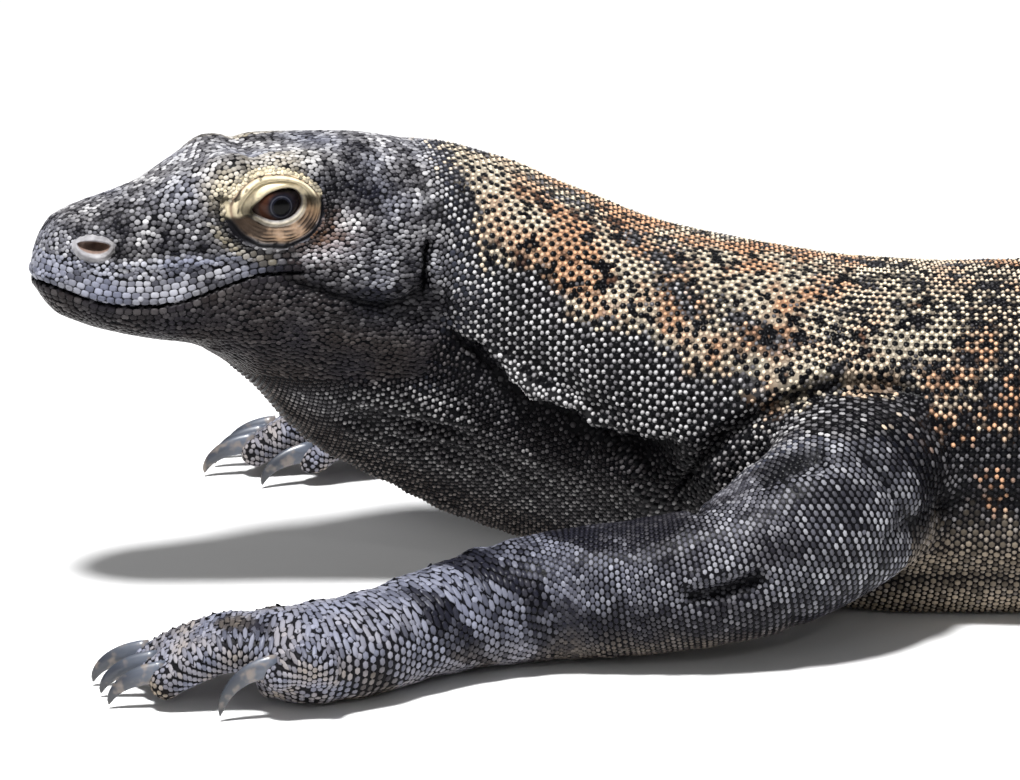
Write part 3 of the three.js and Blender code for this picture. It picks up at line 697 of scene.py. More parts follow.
def lid_ring(hand, sides=LID_SIDES, rows=LID_ROWS):
    angle = 2 * np.pi * np.arange(sides) / sides
    cos, sin = np.cos(angle), np.sin(angle)
    lens = np.where(sin > 0, OPENING[1], OPENING[2]) * np.abs(sin) ** 0.95 * np.sign(sin)
    corner = 1 + 0.26 * np.maximum(-cos, 0) ** 8
    inner = np.stack([OPENING[0] * corner * np.sign(cos) * np.abs(cos) ** 0.92, lens], axis=1)
    inner = leaned(inner, LID_TILT) + OPENING_AT
    outer = outer_shape(LID_HALF, cos, sin) + LID_AT
    share = np.linspace(0, 1, rows)[:, None, None]
    flat = inner * (1 - share) + outer * share
    back, up, t = flat[..., 0], flat[..., 1], share[..., 0] + 0 * sin
    skin_out = cheek_out(back.ravel(), up.ravel(), hand).reshape(back.shape)
    away = np.hypot(back - EYE_AT[0], up - EYE_AT[2])
    ball_out = EYE_AT[1] + np.sqrt(np.maximum((EYE_RADIUS + 0.8) ** 2 - away ** 2, 0))
    ball_out = np.where(away > EYE_RADIUS - 1, np.maximum(ball_out, 26), ball_out)
    lift = fade(t, 0, 0.62)
    out = ball_out * (1 - lift) + skin_out * lift
    above = fade(np.sin(angle - 0.22), -0.1, 0.1)[None, :] + 0 * t
    strength = np.abs(np.sin(angle[None, :] - 0.22)) ** 0.4 * (1 - fade(t, 0.95, 1))
    upper = 0.8 * bell(t - 0.36, 0.032) + 0.4 * bell(t - 0.47, 0.02) + 0.5 * bell(t - 0.68, 0.03)
    flat_places = np.stack([back, up, 0 * up], axis=-1).reshape(-1, 3)
    wander = t + 0.045 * waves(flat_places, 9, 78).reshape(t.shape) * fade(t, 0.1, 0.3)
    patchy = 0.45 + 0.6 * waves(flat_places, 9, 79).reshape(t.shape)
    arcs = patchy * sum(bell(wander - at, 0.024) for at in (0.26, 0.38, 0.49, 0.6, 0.7))
    furrow = (upper * above + arcs * (1 - above)) * strength
    groove = bell(wander - 0.86, 0.08) * (1 - above)
    swell = above * (1.0 * bell(t - 0.2, 0.11) + 0.8 * bell(t - 0.55, 0.09))
    swell = swell + (1 - above) * 0.5 * bell(t - 0.12, 0.06)
    ease_off = 1 - fade(t, 0.85 - 0.2 * above, 1 - 0.15 * above)
    out = out + 0.7 * fade(t, 0, 0.1) * ease_off + swell - 1.1 * furrow - 1.5 * groove
    out = np.maximum(out, np.where(away < EYE_RADIUS, EYE_AT[1] + np.sqrt(
        np.maximum((EYE_RADIUS + 0.45) ** 2 - away ** 2, 0)), 0))
    depth = np.array([3.0, 1.2, 0.4])[:, None]
    lining = np.stack([back[0] + 0 * depth, out[0] - depth, up[0] + 0 * depth], axis=2)
    lining[..., ::2] += (np.array(LID_AT) - lining[..., ::2]) * [[[0.05]], [[0.03]], [[0.01]]]
    ring = np.concatenate([lining, np.stack([back, out, up], axis=2)])
    front, hind = bell(angle - np.pi - 0.2, 0.5)[None, :], bell(np.sin(angle / 2 - 0.1), 0.14)[None, :]
    tan = fade(t, 0.2, 0.28) * (1 - fade(wander, 0.62, 0.8)) * (1 - above)
    shade = (1 - above) * fade(-np.cos(angle + 0.25), -0.15, 0.7)[None, :] * fade(t, 0.15, 0.4)
    flecks = fade(waves(flat_places, 2.4, 77).reshape(t.shape), 0.3, 0.55)
    cream = above * (0.95 - 0.6 * bell(t - 0.7, 0.04)) + (1 - above) * 0.42 * bell(t - 0.13, 0.1)
    cream = cream + tan * (0.3 + 0.65 * hind)
    rust = above * 0.5 * bell(t - 0.7, 0.045) + tan * (0.64 - 0.4 * hind)
    outward = fade(t, 0.34, 0.6)
    fleck_zone = fade(-np.cos(angle + 0.3), 0.1, 0.6)[None, :] * outward
    fleck_zone = fleck_zone + (1 - above) * (0.2 + 0.8 * fade(t, 0.5, 0.8))
    # Painted shade: the furrows, the arcs and the groove are darkened, and a dark band along the top of the opening
    # is the painted shadow of the upper lid.
    dark = 0.6 * furrow + 0.25 * arcs * (1 - above) + tan * (1 - hind) * (0.34 + 0.4 * patchy)
    dark = dark + 0.62 * shade + groove + flecks * 0.85 * np.clip(fleck_zone, 0, 1) + 0.85 * above * bell(t, 0.05)
    rear = bell(np.sin(angle / 2 - 0.07), 0.15)[None, :] * (0.7 + 0.6 * patchy)
    dark = dark + front * (0.95 - 0.6 * fade(t, 0.2, 0.5)) + 0.85 * rear * fade(t, 0.14, 0.34)
    paint = np.stack([np.clip(cream, 0, 1), np.clip(rust, 0, 1), np.clip(dark, 0, 1)], axis=2)
    paint = np.concatenate([np.broadcast_to([0.1, 0.3, 0.8], lining.shape), paint])
    return placed_ring(ring, paint, hand)


# %% Nostrils
def nostril_ring(hand, sides=72, rows=26):
    angle = 2 * np.pi * np.arange(sides) / sides
    cos, sin = np.cos(angle), np.sin(angle)
    hole = np.stack([6.2 * cos, np.where(sin > 0, 1.3, 3.1) * sin + 0.8], axis=1)
    hole = leaned(hole, math.radians(-4)) + NOSTRIL_AT
    outer = outer_shape(NOSTRIL_HALF, cos, sin) + NOSTRIL_AT
    t = np.linspace(0, 1, rows)[:, None]
    flat = hole * (1 - t[..., None]) + outer * t[..., None]
    skin_out = cheek_out(flat[..., 0].ravel(), flat[..., 1].ravel(), hand).reshape(rows, sides)
    out = skin_out + (0.9 + 0.5 * (sin < 0)) * bell(t - 0.35, 0.3) - 0.9 * bell(t, 0.12) - 0.4 * t ** 6
    collar = np.stack([flat[..., 0], out, flat[..., 1]], axis=2)
    shrink, depth = np.array([0.0, 0.45, 0.75, 0.95])[:, None, None], np.array([6.0, 4.6, 2.6, 0.9])[:, None]
    centre = np.array([NOSTRIL_AT[0] + 1.5, NOSTRIL_AT[1] + 0.3])
    pit_flat = centre + (hole - centre) * shrink
    pit = np.stack([pit_flat[..., 0], out[0].mean() - depth + 0 * cos, pit_flat[..., 1]], axis=2)
    pit[-1, :, 1] = out[0] - 0.8
    ring = np.concatenate([pit, collar])
    inside = np.concatenate([np.ones((4, sides)), 1 - fade(np.broadcast_to(t, (rows, sides)), 0, 0.1)])
    paint = np.stack([0.04 * (1 - inside), 0.6 * inside, 0.5 * inside], axis=2)
    return placed_ring(ring, paint, hand)


# %% Sinking the sockets
face_rings = [maker(hand) for maker in (lid_ring, nostril_ring) for hand in (-1, 1)]
back, out, up = to_head(skin_points).T
inward = -unit(read_normals(skin_mesh)) * (np.abs(out) > 14)[:, None] * on_face(skin_points)[:, None]
socket = 1 - fade(lid_share(back, up), 0.86, 0.97)
pit = 1 - fade(nostril_share(back, up), 0.72, 0.95)
skin_points += inward * (15 * socket + 8 * pit * (np.abs(out) > 12))[:, None]
write_points(skin_mesh, skin_points)
print("rings", [len(points) for points, _, _ in face_rings])

# %% [markdown]
# ## Markings
# The skin between the scales is painted near black, partly its own dark colour and partly shade in the gaps,
# and a little paler where its markings are warm. These are cream and orange over the nape, shoulders and
# back, blue-grey on the forearms and hands and over the head, and a sandy dust low down. The crown is
# painted a little paler, a painted highlight. A function of the place gives these masks, and both the skin
# and the scales use it, so that they agree everywhere.

# %% Masks
WARM_EDGE = [  # x and z, where the warm colours end
    (-520, 190), (-460, 178), (-425, 160), (-379, 136), (-345, 122), (-320, 109), (-269, 86), (-235, 68), (-180, 52),
    (-100, 42), (60, 34), (250, 40), (330, 40), (600, 26), (1700, 0),
]
BODY_PATH, THROAT_PATH = np.array(BODY), np.array(THROAT)


def markings(points):
    """Warm, blue, dust, tone (how pale the grey scales are), orange and brown masks, each from 0 to 1."""
    x, y, z = points.T
    back, _, up = to_head(points).T
    on_head = (1 - fade(back, 150, 190)) * fade(z, 88, 104) * (x < -400)
    above, _ = beside(x, z, WARM_EDGE)
    patches = waves(points, 46, 21)
    warm = fade(above + 14 * patches, -16, 16) * (1 - on_head)
    depth = fade(above, 0, 90)
    warm *= 0.95 - fade(x, -300, -225) * (0.02 + 0.18 * (1 - depth))
    warm *= 1 - 0.35 * bell(patches + 0.75, 0.35)
    tail = fade(x, 330, 420) * (np.abs(y - np.interp(x, BODY_PATH[:, 0], BODY_PATH[:, 1])) < 60)
    warm *= 1 - 0.55 * tail
    reach = np.abs(y)
    arm = fade(reach, 86, 108) * (x < -200) * (z < 90)
    leg = fade(reach, 92, 120) * (x > 150)
    blue = np.clip(arm * (0.55 + 0.45 * fade(-x, 300, 420)) + leg * 0.4, 0, 1)
    warm *= 1 - np.maximum(arm * fade(-z, -80, -60), leg * 0.5)
    crown = on_head * fade(up, 22, 40)
    behind_eye = on_head * bell((back - 128) / 2.2, 9) * bell(up - 33, 8)
    blue = np.maximum(blue, on_head * np.clip(0.25 + 0.4 * waves(points, 30, 22), 0, 1) + 0.5 * behind_eye)
    low = 1 - fade(z + 4 * waves(points, 24, 23), 6, 22)
    belly = 1 - fade(z, 8, 18)
    hand = arm * fade(-x, 425, 470)
    side = (1 - fade(z + 6 * waves(points, 14, 28), 20, 58)) * fade(x, -268, -225) * (reach < 104)
    dust = low * (0.2 + 0.1 * arm * bell(x + 330, 60) + 0.45 * belly * (reach < 110))
    dust += 0.66 * side + 0.4 * side * bell(z - 38, 11)
    dust += 0.5 * hand * (0.5 + 0.8 * waves(points, 16, 24)) * (1 - fade(z, 20, 46))
    throat = fade(x, -560, -500) * (1 - fade(x, -300, -270)) * (1 - fade(z, 60, 105))
    lip, _ = beside(back, up, MOUTH)
    lip = np.where(back > 100, up - 1.4 + 0.5 * (back - 100) * (back > 108), lip)
    jaw = on_head * fade(-lip, -0.5, 2) * (1 - fade(back, 96, 150))
    ridge, along_ridge = beside(back, up, LIP_RIDGE)
    upper_lip = on_head * fade(lip, 0, 2) * (1 - fade(ridge, -1, 2)) * (back < 100)
    salt = waves(points, 17, 26)
    tone = 0.5 + 0.1 * patches + on_head * (0.2 * salt * (1 - 0.7 * upper_lip) - 0.07)
    # The crown is painted a little paler, a painted highlight on the top of the head.
    tone += 0.1 * crown - 0.6 * behind_eye
    # The throat term paints the throat under the head a little darker, as shade.
    tone += 0.14 * upper_lip - 0.95 * jaw - 0.14 * throat * (reach < 110) * (1 - on_head)
    tone -= 0.55 * on_head * fade(-up, 4, 14) * fade(back, 90, 116)
    cheek, _ = beside(back, up, CHEEK_FOLD)
    # Painted shade in the band under the cheek fold.
    cheek_fold_shade = on_head * bell(cheek - 3, 4.5) * (back > 86) * (back < 160)
    # A painted highlight along the ridge above the upper lip, and painted shadow above the ridge.
    ridge_highlight = on_head * bell(ridge, 1.7) * window(along_ridge, 0.2)
    tone -= 0.2 * on_head * bell(ridge - 8, 6) * window(along_ridge, 0.2)
    tone += 0.4 * ridge_highlight - 0.6 * cheek_fold_shade
    tone -= 0.45 * arm * fade(waves(points, 42, 29), 0.2, 0.6) * (x < -330)
    tone += 0.24 * arm * fade(-x, 400, 455)
    blue = np.clip(blue + 0.45 * upper_lip + 0.4 * ridge_highlight, 0, 1)
    neck = fade(x, -460, -420) * (1 - fade(x, -300, -240)) * fade(z, 72, 98)
    fold, along_fold = beside(x, z, NECK_FOLD)
    frill = window(along_fold, 0.15) * fade(reach, 18, 34) * (x < -318) * (x > -445)
    # Along the neck fold the edge is painted paler, a painted highlight, and the hollow under it darker, a painted
    # shadow.
    tone += 0.1 * neck * (1 - on_head) + 0.9 * frill * bell(fold - 2.5, 3) - 1.2 * frill * bell(fold + 11, 10)
    flank = fade(x, -290, -235) * (reach < 104) * (x < 330)
    tone -= 0.42 * flank * (1 - belly)
    keel = z - np.interp(x, THROAT_PATH[:, 0], THROAT_PATH[:, 2] - THROAT_PATH[:, 5])
    under = fade(x, -530, -500) * (1 - fade(x, -350, -320))
    under *= (1 - fade(keel, 8, 30)) * (reach < 90)
    brown = 0.9 * under + 0.75 * jaw + 0.4 * throat * (1 - on_head)
    brown = np.clip(brown + on_head * (1 - fade(up, -34, -18)), 0, 1)
    orange = 0.1 + 0.9 * fade(x + 20 * patches, -432, -366) + 0.4 * fade(x, -280, -230)
    orange *= 1 - bell((x + 225) / 1.5, 22) * bell(z - 126, 12)
    orange *= 1 - 0.75 * bell((x + 262) / 2, 22) * bell(z - 107, 11)
    shoulder = bell((x + 268) / 1.5, 38) * bell(z - 82, 26) * fade(reach, 66, 84)
    blotch = fade(waves(points, 21, 27), 0.15, 0.5) * fade(x, -300, -230)
    warm *= (1 - 0.75 * shoulder) * (1 - 0.45 * blotch)
    # The second term paints the low side of the arm darker, as shade.
    tone -= 0.08 * shoulder + 0.55 * arm * (1 - fade(z, 10, 38)) * fade(x, -400, -370)
    dust, tone, brown = np.clip(dust, 0, 1), np.clip(tone, 0, 1), brown * (1 - 0.5 * flank)
    return np.stack([warm, blue, dust, tone, orange, brown], axis=1)


# %% Paint of the face
def face_paint(points):
    """Cream, rust and dark masks of the head's skin outside the lids: the dark one is painted shade in a groove
    round the lids and a dark patch behind the eye.
    """
    back, out, up = to_head(points).T
    face = on_face(points)
    lid = lid_share(back, up)
    near = face * (np.abs(out) > 16)
    cream = 0.85 * bell(np.hypot((back - 79) / 1.2, up - 35), 7)
    cream = near * (cream + 0.3 * bell(np.hypot((back - 98) / 2.6, up - 45), 5))
    cream += near * 0.25 * bell(lid - 1.18, 0.1) * (up < 22) * (back < 96)
    # Painted shade in the groove round the lower lid, and a dark patch behind the eye.
    groove = near * bell(lid - 1.04, 0.09) * (up < 34)
    groove = np.maximum(groove, 0.8 * near * bell(np.hypot((back - 121) / 1.4, up - 36), 8))
    rust = near * 0.4 * bell(np.hypot((back - 112) / 1.6, up - 17), 8)
    return np.stack([np.clip(cream, 0, 1), np.clip(rust, 0, 1), np.clip(groove, 0, 1)], axis=1)


print("warm edge of", len(WARM_EDGE), "points")

# %% [markdown]
# ## Putting the skin together
# The fine skin is kept as a surface to lay scales on, while the visible one is thinned where nobody will
# see the mesh, under the scales of the trunk and tail. The face keeps every point. The rings of the lids
# and nostrils join it, and each point gets its masks as attributes.

# %% Thinning the hidden skin
FIELDS = {"FLOAT_VECTOR": "vector", "FLOAT_COLOR": "color"}


def store(mesh, name, kind, values):
    """Keeps an array as an attribute of the mesh's points."""
    layer = mesh.attributes.new(name, kind, "POINT")
    values = np.ascontiguousarray(values, np.int32 if kind == "INT" else np.float32)
    layer.data.foreach_set(FIELDS.get(kind, "value"), values.ravel())


skin_points = read_points(skin_mesh)
_, main_crease_shade = relief(skin_points)
skin = object_from(skin_mesh)
keep = skin.vertex_groups.new(name="thin here")
thin = 1 - 0.999 * on_face(skin_points)
for value in (1.0, 0.001):
    chosen = np.flatnonzero(np.isclose(thin, value)).tolist()
    keep.add(chosen, value, "REPLACE")
fine_polygons = [tuple(face.vertices) for face in skin_mesh.polygons]
store(skin_mesh, "crease", "FLOAT", main_crease_shade)
decimate = skin.modifiers.new("thin out", "DECIMATE")
decimate.ratio, decimate.vertex_group, decimate.vertex_group_factor = 0.35, keep.name, 8
thinned = applied(skin)
bpy.data.objects.remove(skin)
print("thinned skin", len(thinned.vertices), "points")

# %% Joining the rings
work = bmesh.new()
work.from_mesh(thinned)
crease_shade_layer = work.verts.layers.float["crease"]
paint_layer = work.verts.layers.float_color.new("paint")
# The creases go into the third channel of the paint, which the shader paints as shade.
for vert in work.verts:
    vert[paint_layer] = (0, 0, vert[crease_shade_layer], 0)
for points_of, quads, paint in face_rings:
    made = [work.verts.new(Vector(p * MM)) for p in points_of]
    for vert, colour in zip(made, paint):
        vert[paint_layer] = (*colour, 1)
    for quad in quads.tolist():
        work.faces.new([made[i] for i in quad])
skin_final = bpy.data.meshes.new("skin")
work.to_mesh(skin_final)
work.free()
skin_final.shade_smooth()
skin = object_from(skin_final)
seen = read_points(skin_final)
paint = np.empty(len(seen) * 4, np.float32)
skin_final.attributes["paint"].data.foreach_get("color", paint)
paint = paint.reshape(-1, 4)
on_main = paint[:, 3] < 0.5
paint[on_main, :3] = np.maximum(paint[on_main, :3], face_paint(seen[on_main]))
skin_final.attributes["paint"].data.foreach_set("color", paint.ravel())
print("skin with rings", len(seen), "points")

# %% Storing the markings
marks = markings(seen)
marks[~on_main & (to_head(seen)[:, 0] < 50), 3] = 0.56  # the collars of the nostrils are pale
store(skin_final, "zones", "FLOAT_COLOR", marks[:, [0, 1, 2, 4]])
store(skin_final, "traits", "FLOAT_COLOR",
      np.stack([np.zeros(len(seen)), np.full(len(seen), 0.5), marks[:, 3], marks[:, 5]], axis=1))
store(skin_final, "place", "FLOAT_VECTOR", seen * MM)
# The skin between the scales goes near black, partly its own dark colour and partly painted shade in the gaps, a
# little less where the markings are warm; the rings of the lids and nostrils are not darkened.
warm_skin = 0.1 + 0.46 * marks[:, 0] * (1 - fade(seen[:, 0], -235, -150))
store(skin_final, "rim", "FLOAT", np.where(on_main, warm_skin, 1.0))
print("skin triangles", sum(len(face.vertices) - 2 for face in skin_final.polygons))

# %% [markdown]
# ## Where each scale grows
# A lizard's scales stand in rows round the body, each row shifted by half a scale. So the rows are laid
# ring by ring over the tubes that the body was made of, with the same number of scales in neighbouring
# rings, and each place is then carried to the nearest point of the skin. A scale is left out where the skin
# is far away, as under a shoulder, or where another one already stands.

# %% One set of rows
BROAD_STEP = 0.7  # rows of broad plates stand closer than this share of their pitch
BEAD_KIND, BODY_KIND, TAIL_KIND, LIP_KIND, GRANULE_KIND = range(5)


def lay_rows(rings, pitch, ease, step, chart, kind, first=1.5):
    """Places, lie, half sizes, chart place and row colour of scales over a tube's rings."""
    steps = np.linalg.norm(np.diff(rings, axis=0), axis=2).mean(axis=1)
    run = np.concatenate([[0], np.cumsum(steps)])
    closed = np.concatenate([rings, rings[:, :1]], axis=1)
    at, row, count, found = first, 0, 0, []
    while at < run[-1] - 0.5:
        i = min(np.searchsorted(run, at, side="right") - 1, len(steps) - 1)
        t = (at - run[i]) / steps[i]
        ring = closed[i] * (1 - t) + closed[i + 1] * t
        middle = ring[:-1].mean(axis=0)
        size = pitch(middle)
        lengths = np.linalg.norm(np.diff(ring, axis=0), axis=1)
        relative = ease((ring[1:] + ring[:-1]) / 2 - middle, middle)
        total = (lengths / relative).sum()
        if not count or abs(total / size / count - 1) > 0.16:
            count = max(6, 6 * round(total / size / 6))
        along = np.concatenate([[0], np.cumsum(lengths / relative)]) / total
        share = (np.arange(count) + 0.5 * (row % 2)) / count
        k = np.clip(np.searchsorted(along, share, side="right") - 1, 0, len(lengths) - 1)
        s = ((share - along[k]) / (along[k + 1] - along[k]))[:, None]
        across = total / count * relative[k]
        spacing = size * step
        core = ((np.arange(count) - (row // 2) - row) % 3 == 0).astype(float)
        half_length = spacing * (0.64 if step > BROAD_STEP else 0.58)
        u0, v0, u1, v1 = chart
        u = u0 + (u1 - u0) * at / run[-1]
        found.append(np.column_stack([
            ring[k] * (1 - s) + ring[k + 1] * s, unit(closed[i + 1] - closed[i])[k], np.full(count, half_length),
            across * 0.55, np.full(count, u), v0 + (v1 - v0) * share, core, np.full(count, kind)]))
        at += spacing
        row += 1
    rows = np.concatenate(found)
    if kind == BODY_KIND and ease is wide_below:  # a ring of small granules round each large scale
        rows[rows[:, 10] == 0, 11] = GRANULE_KIND
    return rows


# %% Broad plates
def even(offsets, middle):
    return np.ones(len(offsets))


def wide_above(offsets, middle):
    """Across the top of the wrist and hand lie broad plates, one behind the other like tiles."""
    high = offsets[:, 2] / max(1e-3, offsets[:, 2].max())
    return 1 + 1.4 * fade(-middle[0], 385, 430) * fade(high, 0.15, 0.75)


def wide_below(offsets, middle):
    """Belly plates are broader than flank scales."""
    low = -offsets[:, 2] / max(1e-3, -offsets[:, 2].min())
    return 1 + 0.5 * fade(low, 0.6, 0.95) * (offsets[:, 2] < 0)


# %% Pitch of the rows
def body_pitch(middle):
    return np.interp(middle[0], [-480, -330, -180, -110, 60, 300, 500, 900, 1300, 1600],
                     [2.5, 2.55, 2.65, 3.8, 5.0, 5.3, 5.1, 4.1, 3.1, 1.9])


def limb_pitch(limb_kind):
    if limb_kind == "arm":
        places, sizes = [240, 300, 350, 390, 430, 480], [3.2, 3.1, 3.0, 3.6, 4.2, 4.0]
        return lambda middle: np.interp(-middle[0], places, sizes)
    return lambda middle: np.interp(abs(middle[1]), [60, 150, 200, 240, 270], [5.0, 4.8, 4.4, 4.0, 3.6])


# %% All rows
DIGIT_PITCH, THROAT_PITCH = 3.2, 2.25
front = square_rings[square_rings[:, :, 0].mean(axis=1) < 352]
rear = square_rings[square_rings[:, :, 0].mean(axis=1) >= 346]
laid = [
    lay_rows(front, body_pitch, wide_below, 0.87, (0.01, 0.37, 0.99, 0.65), BODY_KIND),
    lay_rows(rear, body_pitch, wide_below, 1.18, (0.01, 0.01, 0.58, 0.35), TAIL_KIND),
    lay_rows(throat_rings, lambda middle: THROAT_PITCH, even, 0.87, (0.52, 0.67, 0.71, 0.99), GRANULE_KIND),
]
LIMB_CHARTS = {("arm", "left"): (0.73, 0.67, 0.85, 0.99), ("arm", "right"): (0.87, 0.67, 0.99, 0.99),
               ("leg", "left"): (0.60, 0.01, 0.78, 0.35), ("leg", "right"): (0.80, 0.01, 0.99, 0.35)}
for (kind, side), rings_of in limb_tubes.items():
    u0, v0, u1, v1 = LIMB_CHARTS[kind, side]
    split = u0 + (u1 - u0) * 0.74
    for number in range(5):
        chart = (split + 0.01, v0 + (v1 - v0) * number / 5, u1, v0 + (v1 - v0) * (number + 0.92) / 5)
        digit = digit_tubes[kind, side, number]
        laid.append(lay_rows(digit, lambda middle: DIGIT_PITCH, wide_above, 0.68, chart, BODY_KIND, 3))
    ease, step = (wide_above, 0.66) if kind == "arm" else (even, 0.76)
    laid.append(lay_rows(rings_of, limb_pitch(kind), ease, step, (u0, v0, split, v1), BODY_KIND))
print("rows laid", sum(len(part) for part in laid))

# %% [markdown]
# ## Keeping scales apart
# A grid of cells remembers which scales stand where. A new one is kept only if it has room, which also
# settles the seams where the rows of a limb run into those of the trunk. The scales are laid on the fine
# skin and on the outer parts of the lids.

# %% The surface to lay scales on
surface, surface_polygons = skin_points, list(fine_polygons)
for lid_points, quads, _ in face_rings[:2]:
    surface_polygons += [tuple(quad) for quad in (quads + len(surface)).tolist()]
    surface = np.concatenate([surface, lid_points])
lay_tree = tree_of(surface, surface_polygons)
ring_start = len(fine_polygons)
fine_normals = read_normals(skin_mesh)


def normal_at(index, flat):
    if index >= ring_start:
        return np.array(flat)
    total = fine_normals[list(surface_polygons[index])].sum(axis=0)
    return total / max(np.linalg.norm(total), 1e-9)


# %% Room for each scale
cells = {}
CELL = 5.0


def has_room(point, size, tight=0.8):
    """Whether no scale stands nearer than a share of the two half sizes together."""
    a, b, c = (int(math.floor(v / CELL)) for v in point)
    for i in (a - 1, a, a + 1):
        for j in (b - 1, b, b + 1):
            for k in (c - 1, c, c + 1):
                for other, reach in cells.get((i, j, k), ()):
                    limit = tight * (size + reach)
                    dx, dy, dz = other[0] - point[0], other[1] - point[1], other[2] - point[2]
                    if dx * dx + dy * dy + dz * dz < limit * limit:
                        return False
    return True


def girth(half_length, half_width):
    """The room that a scale takes: a broad one counts as little more than its short side."""
    return np.minimum((half_length + half_width) / 2, 1.25 * np.minimum(half_length, half_width))


def remember(point, size):
    cells.setdefault(tuple(int(math.floor(v / CELL)) for v in point), []).append((tuple(point), size))


def crowd_of(points):
    crowd = KDTree(len(points))
    for i, point in enumerate(points):
        crowd.insert(point, i)
    crowd.balance()
    return crowd


# %% Bare places
def bare_place(points):
    """Where the face shows its skin: the eye's socket, the nostril, between the lips and the ear slit."""
    back, out, up = to_head(points).T
    lip, share = beside(back, up, MOUTH)
    slit, slit_share = beside(back, up, EAR)
    bare = (lid_share(back, up) < 0.97) & (np.abs(out) > 14) & (np.abs(back - LID_AT[0]) < 24)
    bare |= (nostril_share(back, up) < 0.9) & (np.abs(out) > 10)
    bare |= (np.abs(lip) < 0.7) & (back < 104) & (share > 0)
    bare |= (np.abs(slit) < 2.7) & (slit_share > 0.05) & (slit_share < 0.95) & (np.abs(out) > 25) & (back < 175)
    return bare


# %% Keeping rows
roots = []  # point, normal, lie, half length, half width, chart u, chart v, core, kind


def keep_rows(rows, reach):
    """Carries the rows to the skin and keeps those scales that have room there."""
    kept = 0
    head_places = to_head(rows[:, :3])
    skip = (head_places[:, 0] < 150) & (rows[:, 0] < -430) & (head_places[:, 2] > -46)
    for row in rows[~skip]:
        point, _, index, _ = lay_tree.find_nearest(Vector(row[:3]), reach)
        if point is None or index >= ring_start:
            continue
        size = girth(row[6], row[7])
        if not has_room(point, size, 0.6):
            continue
        remember(point, size)
        roots.append(np.concatenate([point, normal_at(index, None), row[3:12]]))
        kept += 1
    return kept


# %% [markdown]
# ## Plates of the lips
# The plates along the lips stand in rows that follow the mouth. A row is found by looking at the head from
# all round at one height above the mouth, and plates are then set along it at even steps.

# %% Chart of the head
HEAD_CHART = (0.01, 0.67, 0.50, 0.99)


def head_chart(back, out, up):
    u0, v0, u1, v1 = HEAD_CHART
    turn = (np.arctan2(out, up - 5) / (2 * np.pi) + 0.5) % 1
    return u0 + (u1 - u0) * np.clip(back / 176, 0, 1), v0 + (v1 - v0) * turn


# %% Outline of the lips
SNOUT_CENTRE = 30.0


def lip_outline(offset):
    """Places of the face at a height above the mouth line, from each corner to the snout's tip."""
    outline = []
    for hand in (-1, 1):
        side = []
        for back in np.linspace(106, SNOUT_CENTRE, 130):
            height = np.interp(back, MOUTH[:, 0], MOUTH[:, 1]) + offset
            side.append((np.array([back, hand * 90.0, height]), np.array([0, -hand, 0.0])))
        for turn in np.linspace(0, 0.5 * np.pi, 60):
            way = np.array([math.sin(turn), -hand * math.cos(turn), 0])
            start = np.array([SNOUT_CENTRE, 0, 0]) - way * 80
            height = np.interp(SNOUT_CENTRE - 25 * math.sin(turn), MOUTH[:, 0], MOUTH[:, 1]) + offset
            side.append((start + [0, 0, height], way))
        hits = []
        for start, way in side:
            begin, finish = from_head([start, start + way])
            hit, _, _, _ = lay_tree.ray_cast(Vector(begin), Vector(finish - begin), 110)
            if hit is not None:
                hits.append(np.array(hit))
        outline.append(hits)
    return outline


# %% Lip plates
LIP_ROWS = [  # height above the mouth, length, width, share of a plate before the first one
    (2.1, 3.6, 2.7, 0.5), (4.6, 3.9, 2.8, 1.0), (7.1, 3.7, 2.7, 0.5), (9.5, 3.3, 2.5, 1.0),
    (-2.3, 3.6, 2.8, 0.5), (-4.8, 3.4, 2.6, 1.0),
]


def lay_lips():
    kept = 0
    for offset, length, width, first in LIP_ROWS:
        for hits in lip_outline(offset):
            path = np.array(hits)
            path = path[np.concatenate([[True], np.linalg.norm(np.diff(path, axis=0), axis=1) < 6])]
            run = np.concatenate([[0], np.cumsum(np.linalg.norm(np.diff(path, axis=0), axis=1))])
            for at in np.arange(length * first, run[-1], length):
                guess = np.array([np.interp(at, run, path[:, k]) for k in range(3)])
                ahead = np.array([np.interp(min(at + 1, run[-1]), run, path[:, k]) for k in range(3)])
                point, flat, index, _ = lay_tree.find_nearest(Vector(guess), 4)
                if point is None or index >= ring_start or not has_room(point, (length + width) / 4, 0.78):
                    continue
                remember(point, (length + width) / 4)
                back, out, up = to_head([point])[0]
                lie = unit(guess - ahead + 1e-6)
                roots.append(np.concatenate([point, normal_at(index, flat), lie, [length * 0.5, width * 0.53],
                                             head_chart(back, out, up), [0, LIP_KIND]]))
                kept += 1
    return kept


print("lip plates", lay_lips())

# %% [markdown]
# ## Beads of the head
# The rest of the head has small uneven beads, finest round the eyes and coarser on the crown. They are
# scattered at random with room for each, and then pushed apart a few times, as growing scales do.

# %% Size of the beads
def bead_pitch(back, out, up):
    size = np.interp(back, [0, 20, 60, 95, 140, 175], [1.75, 1.9, 2.1, 2.1, 2.0, 2.3])
    size = size - 0.35 * fade(back, 70, 120) * bell(up - 8, 14)
    size = size + 0.15 * fade(up, 34, 44)
    size = size - 0.6 * bell(np.maximum(lid_share(back, up) - 1, 0), 0.2) * (np.abs(out) > 15)
    size = size - 0.3 * bell(np.maximum(nostril_share(back, up) - 1, 0), 0.4) * (np.abs(out) > 8)
    size = size - 0.3 * fade(-up, 8, 22) * fade(back, 40, 90)
    return np.maximum(size, 1.4)


